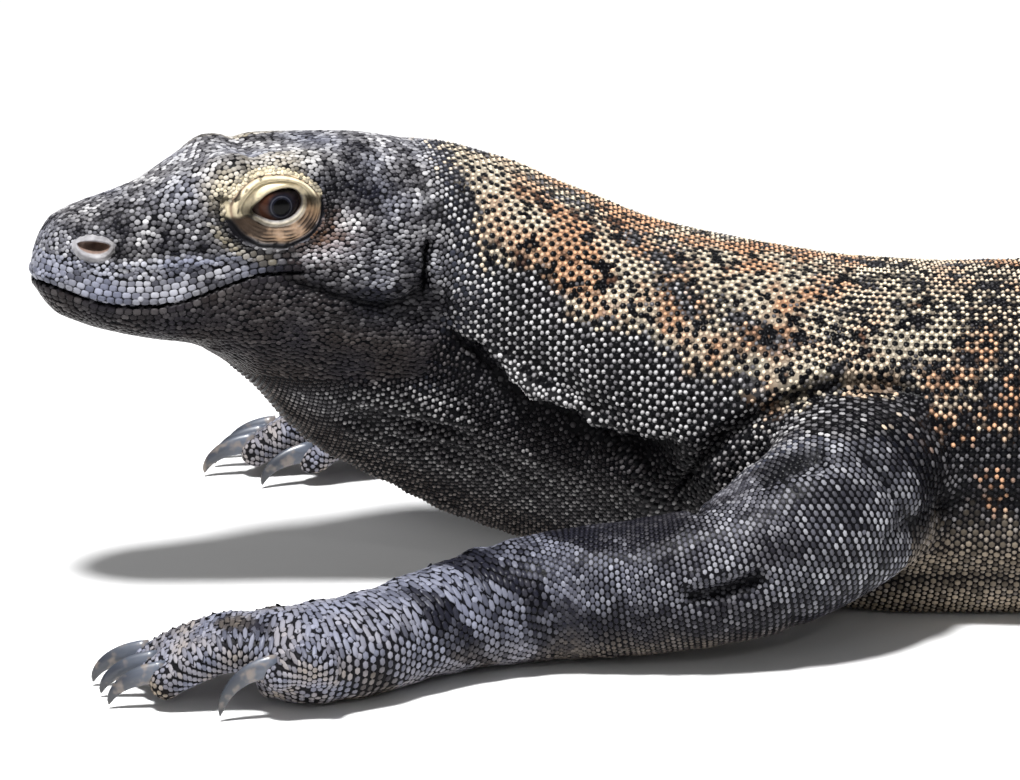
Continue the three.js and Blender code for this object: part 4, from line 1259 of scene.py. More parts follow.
# %% Scattering
def scatter(points, polygons, count, seed):
    """Random places spread evenly over triangles fanned from the polygons."""
    source = np.random.default_rng(seed)
    corners = np.array([(p[0], p[i], p[i + 1]) for p in polygons for i in range(1, len(p) - 1)])
    owner = np.array([n for n, p in enumerate(polygons) for _ in range(1, len(p) - 1)])
    a, b, c = (points[corners[:, k]] for k in range(3))
    areas = np.linalg.norm(np.cross(b - a, c - a), axis=1)
    pick = source.choice(len(corners), count, p=areas / areas.sum())
    r, s = np.sqrt(source.random(count))[:, None], source.random(count)[:, None]
    return a[pick] * (1 - r) + b[pick] * r * (1 - s) + c[pick] * r * s, owner[pick]


# %% Spots for the beads
FACE_SPOTS, LID_SPOTS = 120000, 12000
BARE_ABOVE, BARE_BELOW = 33, 39  # rows of the lid rings that stay bare
centres = np.array([skin_points[list(p)].mean(axis=0) for p in fine_polygons])
back, _, up = to_head(centres).T
face_polygons = [fine_polygons[i] for i in np.flatnonzero(on_face(centres) & (back < 163) & (up > -46))]
spots, _ = scatter(skin_points, face_polygons, FACE_SPOTS, 31)
spots = spots[~bare_place(spots)]
for number, (lid_points, quads, lid_paint) in enumerate(face_rings[:2]):
    more, owner = scatter(lid_points, quads.tolist(), LID_SPOTS, 32 + number)
    depth = lid_paint[quads[owner]].mean(axis=1)
    ring_row = quads[owner][:, 0] // LID_SIDES
    over = more[:, 2] > from_head([[LID_AT[0], 0, LID_AT[1]]])[0, 2] + 3
    good = (ring_row > LINING_ROWS + np.where(over, BARE_ABOVE, BARE_BELOW)) & (depth[:, 2] < 0.5)
    spots = np.concatenate([spots, more[good]])
spots = spots[np.random.default_rng(5).permutation(len(spots))]
print("spots tried", len(spots))

# %% Beads pushed apart
sizes = bead_pitch(*to_head(spots).T)
beads, bead_sizes = [], []
for point, size in zip(spots, sizes):
    if has_room(point, size / 2, 0.84):
        remember(point, size / 2)
        beads.append(point)
        bead_sizes.append(size)
beads, bead_sizes = np.array(beads), np.array(bead_sizes)
for turn in range(6):
    crowd = crowd_of(beads)
    moved = beads.copy()
    for i, bead in enumerate(beads):
        for other, j, distance in crowd.find_range(bead, bead_sizes[i] * 1.25):
            if j != i and distance > 1e-6:
                wanted = (bead_sizes[i] + bead_sizes[j]) / 2 * 1.02
                moved[i] += (bead - np.array(other)) / distance * max(0.0, wanted - distance) * 0.25
    beads = np.where(bare_place(moved)[:, None], beads, moved)
print("head beads", len(beads))

# %% Roots of the beads
crowd = crowd_of(beads)
for bead, size in zip(beads, bead_sizes):
    around = [distance for _, _, distance in crowd.find_n(bead, 6)][1:]
    size = min(size * 1.15, max(size * 0.75, sum(around) / 5))
    point, flat, index, _ = lay_tree.find_nearest(Vector(bead), 5)
    normal = normal_at(index, flat)
    if index >= ring_start and np.dot(normal, np.array(point) - from_head([EYE_AT * [1, 0, 1]])[0]) < 0:
        normal = -normal
    back, out, up = to_head([point])[0]
    grow = 0.62 + 0.04 * math.sin(back * 7.3 + up * 5.1)
    long = 1.06 + 0.16 * fade(back, 45, 90) * (1 - fade(up, 12, 26))
    roots.append(np.concatenate([point, normal, TURN @ [1, 0, 0], [size * grow * long, size * grow / long],
                                 head_chart(back, out, up), [0, BEAD_KIND]]))
print("roots on the head", len(roots))

# %% [markdown]
# ## Filling what is left
# The laid rows are now carried to the skin. Between the rows of two tubes, as at a shoulder, some skin stays
# bare. Random spots are tried there, and each one that has room gets a scale that copies the lie, the size
# and the kind of its nearest neighbour.

# %% Rows on the skin
print("kept", [keep_rows(part, 8 if i == 0 else 4) for i, part in enumerate(laid)])

# %% Filling
BODY_SPOTS, FORE_SPOTS, FORE_END = 70000, 150000, -190
grown = np.array(roots)
standing = crowd_of(grown[:, :3])
spare, _ = scatter(skin_points, fine_polygons, BODY_SPOTS, 41)
fore_polygons = [p for p, at in zip(fine_polygons, centres) if at[0] < FORE_END]
more, _ = scatter(skin_points, fore_polygons, FORE_SPOTS, 42)
spare = np.concatenate([spare, more])
spare = spare[~(bare_place(spare) & on_face(spare)) & (spare[:, 2] > 0)]
filled = 0
for spot in spare:
    _, near, _ = standing.find(spot)
    row = grown[near]
    size = girth(row[9], row[10]) * 0.9
    if not has_room(spot, size, 0.66) or on_face(spot[None])[0]:
        continue
    _, flat, index, _ = lay_tree.find_nearest(Vector(spot), 3)
    remember(spot, size)
    jitter = rng.uniform(-0.002, 0.002, 2)
    kind = row[14] if row[14] != LIP_KIND else BODY_KIND
    roots.append(np.concatenate([spot, normal_at(index, flat), row[6:9], [size, size], row[11:13] + jitter,
                                 [0, kind]]))
    filled += 1
roots = np.array(roots)
print("filled", filled, "scales in all", len(roots))

# %% [markdown]
# ## Settling
# Some scales now stand too close. A few rounds push neighbours apart where they overlap, and then each scale
# goes back to the nearest place of the skin. Those of the lips and the head stay as they are.

# %% Settling
SETTLE_ROUNDS = 3
loose = np.flatnonzero(~np.isin(roots[:, 14], (BEAD_KIND, LIP_KIND)))
sizes = girth(roots[:, 9], roots[:, 10])
for turn in range(SETTLE_ROUNDS):
    crowd = crowd_of(roots[:, :3])
    shift = np.zeros((len(roots), 3))
    for i in loose:
        point, size = roots[i, :3], sizes[i]
        for other, j, distance in crowd.find_range(point, size * 1.9):
            short = 0.86 * (size + sizes[j]) - distance
            if j != i and short > 0 and distance > 1e-6:
                shift[i] += (point - np.array(other)) * (short / distance * 0.3)
    roots[loose, :3] += shift[loose]
for i in loose:
    point, _, index, _ = lay_tree.find_nearest(Vector(roots[i, :3]), 5)
    if point is not None and index < ring_start:
        roots[i, :3], roots[i, 3:6] = point, normal_at(index, None)
print("settled", len(loose))

# %% [markdown]
# ## Five kinds of scale
# A scale is a low dome that is open nowhere: a buried base, a shoulder and a top. It is copied thousands of
# times, so it has only a few dozen faces. Beads of the head have eight sides instead of six, because they are
# seen closest. Tail scales are long and have a keel, lip plates are rounded squares, and granules are the
# smallest cones. Each template remembers how high a point lies on it, which the shader turns into painted
# shade at its foot.

# %% One template
def template(name, sides, levels, square=2.0, keel=0.0, lean=0.0, foot=0.0):
    """A closed dome. The levels are pairs of a share of the half size and a height, from the foot up."""
    verts, faces, foot_shades = [], [], []
    for share, height in levels:
        for s in range(sides):
            angle = 2 * math.pi * (s + 0.5) / sides
            c, d = math.cos(angle), math.sin(angle)
            x = math.copysign(abs(c) ** (2 / square), c) * share
            y = math.copysign(abs(d) ** (2 / square), d) * share
            ridge = keel * (1 - min(1, abs(y) * 1.6)) * (height > 0)
            verts.append((x + lean * max(height, 0), y, height + ridge + lean * 0.5 * x * (height > 0)))
            # How high the point lies, which the shader turns into painted shade towards the foot.
            foot_shades.append(0.5 + 0.5 * height if height > 0 else foot)
    top = 1.0 if levels[-1][1] < 0 else levels[-1][1] * 1.14 + keel * 1.1
    verts.append((lean, 0, top))
    foot_shades.append(1.0)
    for level in range(len(levels) - 1):
        for s in range(sides):
            a, b = level * sides + s, level * sides + (s + 1) % sides
            faces.append((a, b, b + sides, a + sides))
    last = (len(levels) - 1) * sides
    faces += [(last + s, last + (s + 1) % sides, len(verts) - 1) for s in range(sides)]
    faces.append(tuple(reversed(range(sides))))
    mesh = bpy.data.meshes.new(name)
    mesh.from_pydata(verts, [], faces)
    mesh.shade_smooth()
    store(mesh, "rim", "FLOAT", foot_shades)
    store(mesh, "spot", "FLOAT_VECTOR", [(x * 0.5, y * 0.5, 0) for x, y, _ in verts])
    return object_from(mesh)


# %% Five templates
templates = [
    template("head bead", 8, [(1.0, -0.3), (0.76, 0.62)]),
    template("body bead", 6, [(1.0, -0.3), (0.76, 0.6)]),
    template("tail scale", 6, [(1.0, -0.25), (0.80, 0.5)], 2.4, keel=0.35, lean=0.12),
    template("lip plate", 8, [(1.0, -0.25), (0.9, 0.5), (0.55, 0.86)], 3.2, foot=0.45),
    template("granule", 6, [(1.0, -0.3)], foot=0.5),
]
print("templates", [len(shape.data.polygons) for shape in templates])

# %% [markdown]
# ## The coat, grown with Geometry Nodes
# Each root is a point that carries its turn, its size and its markings. A node tree puts the right template
# on every point. The coat is grown in passes, each of every eighth scale of the whole animal, so that no
# piece gets too heavy and each piece still covers every part of the hide.

# %% Turn and height of each scale
def euler_of(x_axis, y_axis, z_axis):
    return np.stack([np.arctan2(y_axis[:, 2], z_axis[:, 2]), np.arcsin(np.clip(-x_axis[:, 2], -1, 1)),
                     np.arctan2(x_axis[:, 1], x_axis[:, 0])], axis=1)


place, normal, lie = roots[:, :3], unit(roots[:, 3:6]), roots[:, 6:9]
length, width, kinds, cores = roots[:, 9], roots[:, 10], roots[:, 14], roots[:, 13]
lie = unit(lie - normal * (lie * normal).sum(axis=1, keepdims=True))
sway = rng.normal(0, 0.05, len(roots))[:, None]
lie = unit(lie + np.cross(normal, lie) * sway)
count = len(roots)
uneven = rng.uniform(0.95, 1.05, (count, 2))
steepness = np.array([0.52, 0.55, 0.36, 0.3, 0.6])  # of the five kinds
height = steepness[kinds.astype(int)] * np.minimum(length, width)
low = place[:, 2] < GROUND + 1.6
height = np.where(low, np.minimum(height, np.maximum(0.45, (place[:, 2] - 0.15) * 0.9)), height)
print("heights", height.min().round(2), "to", height.max().round(2), "mm")

# %% Markings of each scale
marks = markings(place)
face_marks = face_paint(place)
x, reach = place[:, 0], np.abs(place[:, 1])
rowed = (x > -470) & (x < 352) & (reach < 104) & ~on_face(place)
spotted = rowed * fade(x, -175, -115)  # further back the large scales are the pale ones
netted = rowed * (1 - spotted)
marks[:, 0] *= 1 - 0.7 * spotted * (1 - cores)
marks[:, 3] = np.clip(marks[:, 3] + 0.15 * netted, 0, 1)
swell = np.where(cores > 0, 1 + 0.16 * spotted + 0.12 * netted, 1 - 0.1 * spotted)
length, width = length * swell, width * swell
height *= 1 - 0.35 * fade(marks[:, 1], 0.3, 0.5) * ~on_face(place) - 0.3 * netted * cores
cores = cores * np.maximum(netted, (x >= 352) * (marks[:, 0] > 0.3))
# Scales in creases and grooves get the same painted shade.
_, crease = relief(place)
face_marks[:, 2] = np.maximum(face_marks[:, 2], crease)
back, out, up = to_head(place).T
lid = lid_share(back, up)
on_lid = (lid < 1.0) & on_face(place) & (np.abs(out) > 16) & (np.abs(back - LID_AT[0]) < 24)
upper = up > LID_AT[1] + (back - LID_AT[0]) * math.tan(LID_TILT)
face_marks[on_lid & upper, 0] = 0.6
face_marks[on_lid & ~upper, 2] = 0.5
print("dark cores", int(cores.sum()), "scales on the lids", int(on_lid.sum()))

# %% Root points
coat_points = bpy.data.meshes.new("roots")
coat_points.from_pydata([tuple(p) for p in (place - normal * 0.05) * MM], [], [])
one = np.ones((count, 1))
store(coat_points, "turn", "FLOAT_VECTOR", euler_of(lie, np.cross(normal, lie), normal))
sizes = np.column_stack([length * uneven[:, 0], width * uneven[:, 1], height])
store(coat_points, "size", "FLOAT_VECTOR", sizes * MM)
store(coat_points, "chart", "FLOAT_VECTOR", np.column_stack([roots[:, 11:13], np.zeros(count)]))
store(coat_points, "place", "FLOAT_VECTOR", place * MM)
store(coat_points, "zones", "FLOAT_COLOR", marks[:, [0, 1, 2, 4]])
store(coat_points, "traits", "FLOAT_COLOR",
      np.column_stack([cores, rng.random(count), marks[:, 3], marks[:, 5]]))
store(coat_points, "paint", "FLOAT_COLOR", np.concatenate([face_marks, one], axis=1))
store(coat_points, "kind", "INT", kinds)
triangles_of = np.array([30, 22, 22, 46, 10])  # of the five kinds
print("coat triangles", int(triangles_of[kinds.astype(int)].sum()))

# %% [markdown]
# ## A tree that grows scales
# A node tree could also spread the scales by itself, but then they would stand at random, and a lizard's
# stand in rows. So it gets the finished roots, picks those of its own pass and kind, and puts the shapes on
# them with Instance on Points. At the end the copies are made real, and every scale gets a small patch of the
# map at its root's place.

# %% Helpers for node trees
def socket(tree, name, kind, direction="INPUT", value=None):
    made = tree.interface.new_socket(name=name, in_out=direction, socket_type=kind)
    if value is not None:
        made.default_value = value
    return made


def put(tree, kind, inputs=None, **settings):
    """A node with its settings, and its inputs linked to sockets or set to values."""
    node = tree.nodes.new(kind)
    for name, value in settings.items():
        setattr(node, name, value)
    for name, value in (inputs or {}).items():
        target = node.inputs[name]
        if isinstance(value, bpy.types.NodeSocket):
            tree.links.new(value, target)
        else:
            target.default_value = value
    return node


def named(tree, name, data_type):
    return put(tree, "GeometryNodeInputNamedAttribute", {"Name": name}, data_type=data_type).outputs["Attribute"]


# %% Inputs of the tree
PASSES, PATCH_SIZE = 8, 0.003
g = coat_tree = bpy.data.node_groups.new("scale coat", "GeometryNodeTree")
g.is_modifier = True
socket(g, "Roots", "NodeSocketGeometry")
SCALE_KINDS = ("Bead", "Body scale", "Tail scale", "Lip plate", "Granule")
for label in SCALE_KINDS:
    socket(g, label, "NodeSocketObject")
socket(g, "Passes", "NodeSocketInt", value=PASSES)
socket(g, "Pass", "NodeSocketInt", value=0)
socket(g, "Patch size", "NodeSocketFloat", value=PATCH_SIZE)
socket(g, "Hide", "NodeSocketMaterial")
socket(g, "Coat", "NodeSocketGeometry", "OUTPUT")
entry, leave = put(g, "NodeGroupInput"), put(g, "NodeGroupOutput")
print("inputs", len(entry.outputs) - 1)

# %% Picking the roots
index = put(g, "GeometryNodeInputIndex").outputs[0]
turn_of = put(g, "ShaderNodeMath", {0: index, 1: entry.outputs["Passes"]}, operation="MODULO").outputs[0]
mine = put(g, "FunctionNodeCompare", {0: turn_of, 1: entry.outputs["Pass"], "Epsilon": 0.1},
           operation="EQUAL", data_type="FLOAT").outputs[0]
gathered = put(g, "GeometryNodeJoinGeometry")
for number, label in enumerate(SCALE_KINDS):
    same = put(g, "FunctionNodeCompare", {2: named(g, "kind", "INT"), 3: number},
               operation="EQUAL", data_type="INT").outputs[0]
    both = put(g, "FunctionNodeBooleanMath", {0: same, 1: mine}, operation="AND").outputs[0]
    shape = put(g, "GeometryNodeObjectInfo", {"Object": entry.outputs[label]}).outputs["Geometry"]
    copies = put(g, "GeometryNodeInstanceOnPoints", {
        "Points": entry.outputs["Roots"], "Selection": both, "Instance": shape,
        "Rotation": named(g, "turn", "FLOAT_VECTOR"), "Scale": named(g, "size", "FLOAT_VECTOR")})
    g.links.new(copies.outputs[0], gathered.inputs[0])
print("kinds joined", len(gathered.inputs[0].links))

# %% Real scales with their own patch of the map
real = put(g, "GeometryNodeRealizeInstances", {"Geometry": gathered.outputs[0]}).outputs[0]
patch = put(g, "ShaderNodeVectorMath", {0: named(g, "spot", "FLOAT_VECTOR"),
            "Scale": entry.outputs["Patch size"]}, operation="SCALE").outputs[0]
spread = put(g, "ShaderNodeVectorMath", {0: named(g, "chart", "FLOAT_VECTOR"), 1: patch},
             operation="ADD").outputs[0]
charted = put(g, "GeometryNodeStoreNamedAttribute", {"Geometry": real, "Name": "OFBake", "Value": spread},
              data_type="FLOAT2", domain="CORNER").outputs[0]
dressed = put(g, "GeometryNodeSetMaterial", {"Geometry": charted, "Material": entry.outputs["Hide"]})
g.links.new(dressed.outputs[0], leave.inputs[0])
print("coat tree", len(g.nodes), "nodes")

# %% [markdown]
# ## Helpers for colours
# A shader is a sum of small steps: multiply, mix two colours, fade from one value to another. A short
# function for each kind of step keeps the recipes below readable.

# %% Shader helpers
def math_node(tree, operation, a, b=0.0, clamp=False):
    return put(tree, "ShaderNodeMath", {0: a, 1: b}, operation=operation, use_clamp=clamp).outputs[0]


def plus(tree, a, b):
    return math_node(tree, "ADD", a, b)


def times(tree, a, b):
    return math_node(tree, "MULTIPLY", a, b)


def step_node(tree, value, low, high, to_low=0.0, to_high=1.0):
    node = put(tree, "ShaderNodeMapRange", {"Value": value, "From Min": low, "From Max": high, "To Min": to_low,
                                            "To Max": to_high}, interpolation_type="SMOOTHSTEP")
    return node.outputs[0]


def mix_node(tree, factor, a, b, blend="MIX"):
    node = put(tree, "ShaderNodeMix", {0: factor}, data_type="RGBA", blend_type=blend, clamp_factor=True)
    for slot_index, value in ((6, a), (7, b)):
        if isinstance(value, bpy.types.NodeSocket):
            tree.links.new(value, node.inputs[slot_index])
        else:
            node.inputs[slot_index].default_value = (*value, 1)
    return node.outputs[2]


def noise_node(tree, vector, scale, detail=2.0):
    return put(tree, "ShaderNodeTexNoise", {"Vector": vector, "Scale": scale, "Detail": detail}).outputs[0]


# %% [markdown]
# ## Hide colours
# One shader node group colours skin and scales alike. It takes the masks, a random number for each scale,
# and how high a point lies on its scale, which it turns into painted shade at the foot of the scale. A scale
# that is the core of a ring of three is near black where the pattern is warm, so the cream ones round it
# show as a net, and some black clusters lie across it. The grey scales run from coal to pearl, and those of
# the forearms from slate to a pale blue. Creases get painted shade too.

# %% Palette and inputs of the hide colours
BLACK, COAL, ASH, PEARL = (0.003, 0.003, 0.004), (0.016, 0.015, 0.018), (0.15, 0.145, 0.155), (0.62, 0.61, 0.62)
CREAM, ORANGE, UMBER = (0.86, 0.75, 0.58), (0.74, 0.42, 0.25), (0.12, 0.062, 0.04)
SLATE, SKY, SAND, RUST = (0.013, 0.014, 0.024), (0.22, 0.235, 0.32), (0.40, 0.33, 0.25), (0.42, 0.20, 0.08)
LID_CREAM, BARK, EARTH = (0.88, 0.76, 0.52), (0.026, 0.02, 0.018), (0.13, 0.105, 0.09)

g = hide_colours = bpy.data.node_groups.new("hide colours", "ShaderNodeTree")
for label, kind in (("Place", "NodeSocketVector"), ("Zones", "NodeSocketColor"), ("Traits", "NodeSocketColor"),
                    ("Paint", "NodeSocketColor"), ("Orange", "NodeSocketFloat"), ("Brown", "NodeSocketFloat"),
                    ("Rim", "NodeSocketFloat")):
    socket(g, label, kind)
socket(g, "Color", "NodeSocketColor", "OUTPUT")
socket(g, "Roughness", "NodeSocketFloat", "OUTPUT")
entry, leave = put(g, "NodeGroupInput"), put(g, "NodeGroupOutput")
spot = entry.outputs["Place"]
zones = put(g, "ShaderNodeSeparateColor", {0: entry.outputs["Zones"]}).outputs
traits = put(g, "ShaderNodeSeparateColor", {0: entry.outputs["Traits"]}).outputs
paint = put(g, "ShaderNodeSeparateColor", {0: entry.outputs["Paint"]}).outputs
warm, blue, dust = zones[0], zones[1], zones[2]
core, seed, tone = traits[0], traits[1], traits[2]
print("inputs", len(entry.outputs) - 1)

# %% Grey and brown scales
broad, mottle, fine = noise_node(g, spot, 44), noise_node(g, spot, 85), noise_node(g, spot, 420)
cluster = noise_node(g, spot, 190, 1)
grey_share = plus(g, plus(g, times(g, tone, 1.1), times(g, seed, 0.75)), times(g, mottle, 0.9))
grey = mix_node(g, step_node(g, grey_share, 0.75, 1.35), COAL, ASH)
grey = mix_node(g, step_node(g, grey_share, 1.25, 1.9), grey, PEARL)
brown = mix_node(g, step_node(g, grey_share, 0.8, 1.9), BARK, EARTH)
grey = mix_node(g, times(g, entry.outputs["Brown"], 0.85), grey, brown)
print("after the grey scales", len(g.nodes), "nodes")

# %% Warm scales
hue = math_node(g, "FRACT", times(g, seed, 7.31))
warm_share = plus(g, step_node(g, broad, 0.4, 0.62, -0.4, 0.75), times(g, hue, 0.6))
warm_share = times(g, warm_share, entry.outputs["Orange"])
warm_colour = mix_node(g, warm_share, CREAM, ORANGE)
warm_colour = mix_node(g, step_node(g, mottle, 0.60, 0.70), warm_colour, UMBER)
warm_colour = mix_node(g, step_node(g, hue, 0.0, 0.3, 0.5, 0.0), warm_colour, UMBER)
warm_colour = mix_node(g, step_node(g, cluster, 0.57, 0.62), warm_colour, BLACK)
lit = plus(g, times(g, warm, 1.1), step_node(g, mottle, 0.36, 0.62, 0.0, 0.45))
lit = step_node(g, plus(g, lit, times(g, seed, 0.45)), 1.0, 1.22)
warm_on = math_node(g, "MULTIPLY", lit, math_node(g, "SUBTRACT", 1.0, core), True)
colour = mix_node(g, warm_on, grey, warm_colour)
colour = mix_node(g, core, colour, BLACK)
print("after the warm scales", len(g.nodes), "nodes")

# %% Blue scales, dust, paint of the face, and painted shade at the feet of the scales and in creases
blue_share = plus(g, plus(g, times(g, tone, 1.2), times(g, seed, 0.35)), times(g, mottle, 1.0))
blue_colour = mix_node(g, step_node(g, blue_share, 0.85, 1.75), SLATE, SKY)
colour = mix_node(g, times(g, blue, 0.85), colour, blue_colour)
dusty = times(g, dust, step_node(g, plus(g, mottle, seed), 0.5, 1.2, 0.35, 1.0))
colour = mix_node(g, dusty, colour, SAND)
creamy = times(g, paint[0], step_node(g, seed, 0.0, 0.25, 0.35, 1.0))
colour = mix_node(g, creamy, colour, LID_CREAM)
colour = mix_node(g, times(g, paint[1], 0.8), colour, RUST)
colour = mix_node(g, times(g, step_node(g, fine, 0.35, 0.7), 0.25), colour, BLACK)
# Painted shade: each scale goes near black towards its foot, and so does the skin between the scales.
colour = mix_node(g, step_node(g, entry.outputs["Rim"], 0.25, 0.92, 0.97, 0.0), colour, BLACK)
# Painted shade in creases and grooves, together with the dark marks of the lids.
colour = mix_node(g, times(g, paint[2], 0.9), colour, BLACK)
g.links.new(colour, leave.inputs[0])
rough = step_node(g, plus(g, times(g, fine, 0.5), dust), 0.1, 1.3, 0.27, 0.85)
g.links.new(rough, leave.inputs[1])
print("hide group", len(g.nodes), "nodes")

# %% [markdown]
# ## Two hide materials
# The skin between the scales is dull and softly wrinkled. The scales are a little glossier, with a finer
# grain. Both use the same group, so they differ only in gloss and bump.

# %% Helpers for materials
def attribute_node(tree, name, output="Color"):
    return put(tree, "ShaderNodeAttribute", attribute_name=name).outputs[output]


def new_material(name, colour, **fixed):
    """A material whose Principled shader holds its uniform values on its own sockets."""
    made = bpy.data.materials.new(name)
    made.use_nodes = True
    made.diffuse_color = (*colour, 1)
    shader = made.node_tree.nodes["Principled BSDF"]
    for socket_name, value in fixed.items():
        shader.inputs[socket_name.replace("_", " ")].default_value = value
    return made, made.node_tree, shader


# %% Hide materials
def hide_material(name, gloss, bump, grain):
    made, tree, shader = new_material(name, ASH, Specular_IOR_Level=gloss)
    group = put(tree, "ShaderNodeGroup", {
        "Place": attribute_node(tree, "place", "Vector"), "Zones": attribute_node(tree, "zones"),
        "Traits": attribute_node(tree, "traits"), "Paint": attribute_node(tree, "paint"),
        "Orange": attribute_node(tree, "zones", "Alpha"), "Brown": attribute_node(tree, "traits", "Alpha"),
        "Rim": attribute_node(tree, "rim", "Fac")}, node_tree=hide_colours)
    tree.links.new(group.outputs["Color"], shader.inputs["Base Color"])
    tree.links.new(group.outputs["Roughness"], shader.inputs["Roughness"])
    surface = put(tree, "ShaderNodeTexCoord").outputs["Object"]
    height = noise_node(tree, surface, grain, 4)
    bumped = put(tree, "ShaderNodeBump", {"Height": height, "Strength": bump, "Distance": 0.0004})
    tree.links.new(bumped.outputs[0], shader.inputs["Normal"])
    return made


skin_hide = hide_material("skin between the scales", 0.04, 0.5, 900)
scale_hide = hide_material("scales", 0.09, 0.25, 1400)
print("hide materials", skin_hide.name, scale_hide.name)

# %% [markdown]
# ## Growing the coat
# The tree runs once for each pass, as a modifier whose inputs are set by their identifiers. The result is
# taken as a plain mesh, and the templates and the attributes that only the tree needed are removed.

# %% Growing the coat
skin.data.materials.append(skin_hide)
inputs = {item.name: item.identifier for item in coat_tree.interface.items_tree if item.in_out == "INPUT"}
coat_pieces = []
for number in range(PASSES):
    source = object_from(coat_points.copy())
    modifier = source.modifiers.new("coat", "NODES")
    modifier.node_group = coat_tree
    for label, shape in zip(SCALE_KINDS, templates):
        modifier[inputs[label]] = shape
    modifier[inputs["Passes"]], modifier[inputs["Pass"]] = PASSES, number
    modifier[inputs["Hide"]] = scale_hide
    mesh = applied(source)
    bpy.data.objects.remove(source)
    mesh.name = "scales_%d" % (number + 1)
    for spare_name in ("turn", "size", "chart", "spot", "kind"):
        if spare_name in mesh.attributes:
            mesh.attributes.remove(mesh.attributes[spare_name])
    coat_pieces.append(object_from(mesh))
for shape in templates:
    bpy.data.objects.remove(shape)
print("coat pieces", [sum(len(f.vertices) - 2 for f in piece.data.polygons) for piece in coat_pieces])

# %% [markdown]
# ## Eyes
# The eyeball is a sphere with a slightly raised cornea. Its material reads the distance from the axis of
# sight: a round black pupil, a thin grey ring round it that is a painted reflection, and a dark iris with fine
# spokes that is browner towards the snout. The top is painted darker, as the shade of the upper lid.

# %% Eyeballs
def turn_outwards(mesh):
    work = bmesh.new()
    work.from_mesh(mesh)
    bmesh.ops.recalc_face_normals(work, faces=work.faces)
    work.to_mesh(mesh)
    work.free()


def eyeball(hand):
    centre = EYE_AT * [1, hand, 1]
    turn, tilt = np.meshgrid(2 * np.pi * np.arange(64) / 64, np.linspace(0, np.pi, 49)[1:-1])
    shape = np.stack([np.sin(tilt) * np.cos(turn), np.cos(tilt), np.sin(tilt) * np.sin(turn)], axis=2)
    radial = EYE_RADIUS * np.sin(tilt)
    bulge = np.where(tilt < 1.4, 0.7 * np.exp(-(radial / 6.5) ** 4), 0)
    local = shape * (EYE_RADIUS - 0.15 + bulge)[..., None] * [1, hand, 1]
    poles = np.array([[0, hand * (EYE_RADIUS + 0.55), 0], [0, -hand * (EYE_RADIUS - 0.15), 0]])
    verts = np.concatenate([local.reshape(-1, 3), poles])
    faces = shell_faces(local, 0)
    if hand > 0:
        faces = [face[::-1] for face in faces]
    mesh = mesh_from("eyeball_left" if hand < 0 else "eyeball_right", from_head(verts + centre), faces)
    mesh.shade_smooth()
    store(mesh, "gaze", "FLOAT_VECTOR", verts)
    return object_from(mesh)


eyes = {"left": eyeball(-1), "right": eyeball(1)}
for eye in eyes.values():
    turn_outwards(eye.data)
print("eyes", [len(eye.data.polygons) for eye in eyes.values()])

# %% Eye material
PUPIL_EDGE, REFLECTION_INNER, REFLECTION_OUTER, RIM_EDGE = (3.3, 3.5), (4.0, 4.3), (4.8, 4.5), (8.2, 9.4)  # mm from the axis
eye_look, tree, shader = new_material("eye", (0.02, 0.012, 0.01), Coat_Weight=0.08, Coat_Roughness=0.03,
                                      Specular_IOR_Level=0.08, Roughness=0.2)
gaze = put(tree, "ShaderNodeSeparateXYZ", {0: attribute_node(tree, "gaze", "Vector")}).outputs
flat = put(tree, "ShaderNodeCombineXYZ", {0: gaze[0], 1: gaze[2], 2: 0.0}).outputs[0]
radius = put(tree, "ShaderNodeVectorMath", {0: flat}, operation="LENGTH").outputs["Value"]
spokes = noise_node(tree, put(tree, "ShaderNodeVectorMath", {0: flat}, operation="NORMALIZE").outputs[0], 9, 3)
ahead = step_node(tree, gaze[0], -5.0, 3.0, 1.0, 0.12)
browned = times(tree, step_node(tree, radius, 4.6, 6.6), ahead)
iris = mix_node(tree, browned, (0.006, 0.007, 0.012), (0.045, 0.017, 0.01))
iris = mix_node(tree, step_node(tree, spokes, 0.45, 0.75, 0.0, 0.5), iris, (0.01, 0.006, 0.005))
# A painted reflection: a thin grey ring round the pupil.
ring_reflection = times(tree, step_node(tree, radius, *REFLECTION_INNER), step_node(tree, radius, *REFLECTION_OUTER))
iris = mix_node(tree, ring_reflection, iris, (0.035, 0.036, 0.048))
whole = mix_node(tree, step_node(tree, radius, *PUPIL_EDGE, 1.0, 0.0), iris, (0.0008, 0.0008, 0.001))
whole = mix_node(tree, step_node(tree, radius, *RIM_EDGE), whole, (0.045, 0.03, 0.026))
whole = mix_node(tree, step_node(tree, gaze[2], 4.4, 6.6, 0.0, 0.9), whole, (0.004, 0.003, 0.003))
tree.links.new(whole, shader.inputs["Base Color"])
for eye in eyes.values():
    eye.data.materials.append(eye_look)
print("eye material", len(tree.nodes), "nodes")

# %% [markdown]
# ## Claws
# Each claw is a tapering horn that curves down to the ground. Fourteen sections of sixteen points follow the
# same curve as its solid, with a low ridge along the top. The five claws of a hand or foot are one piece.

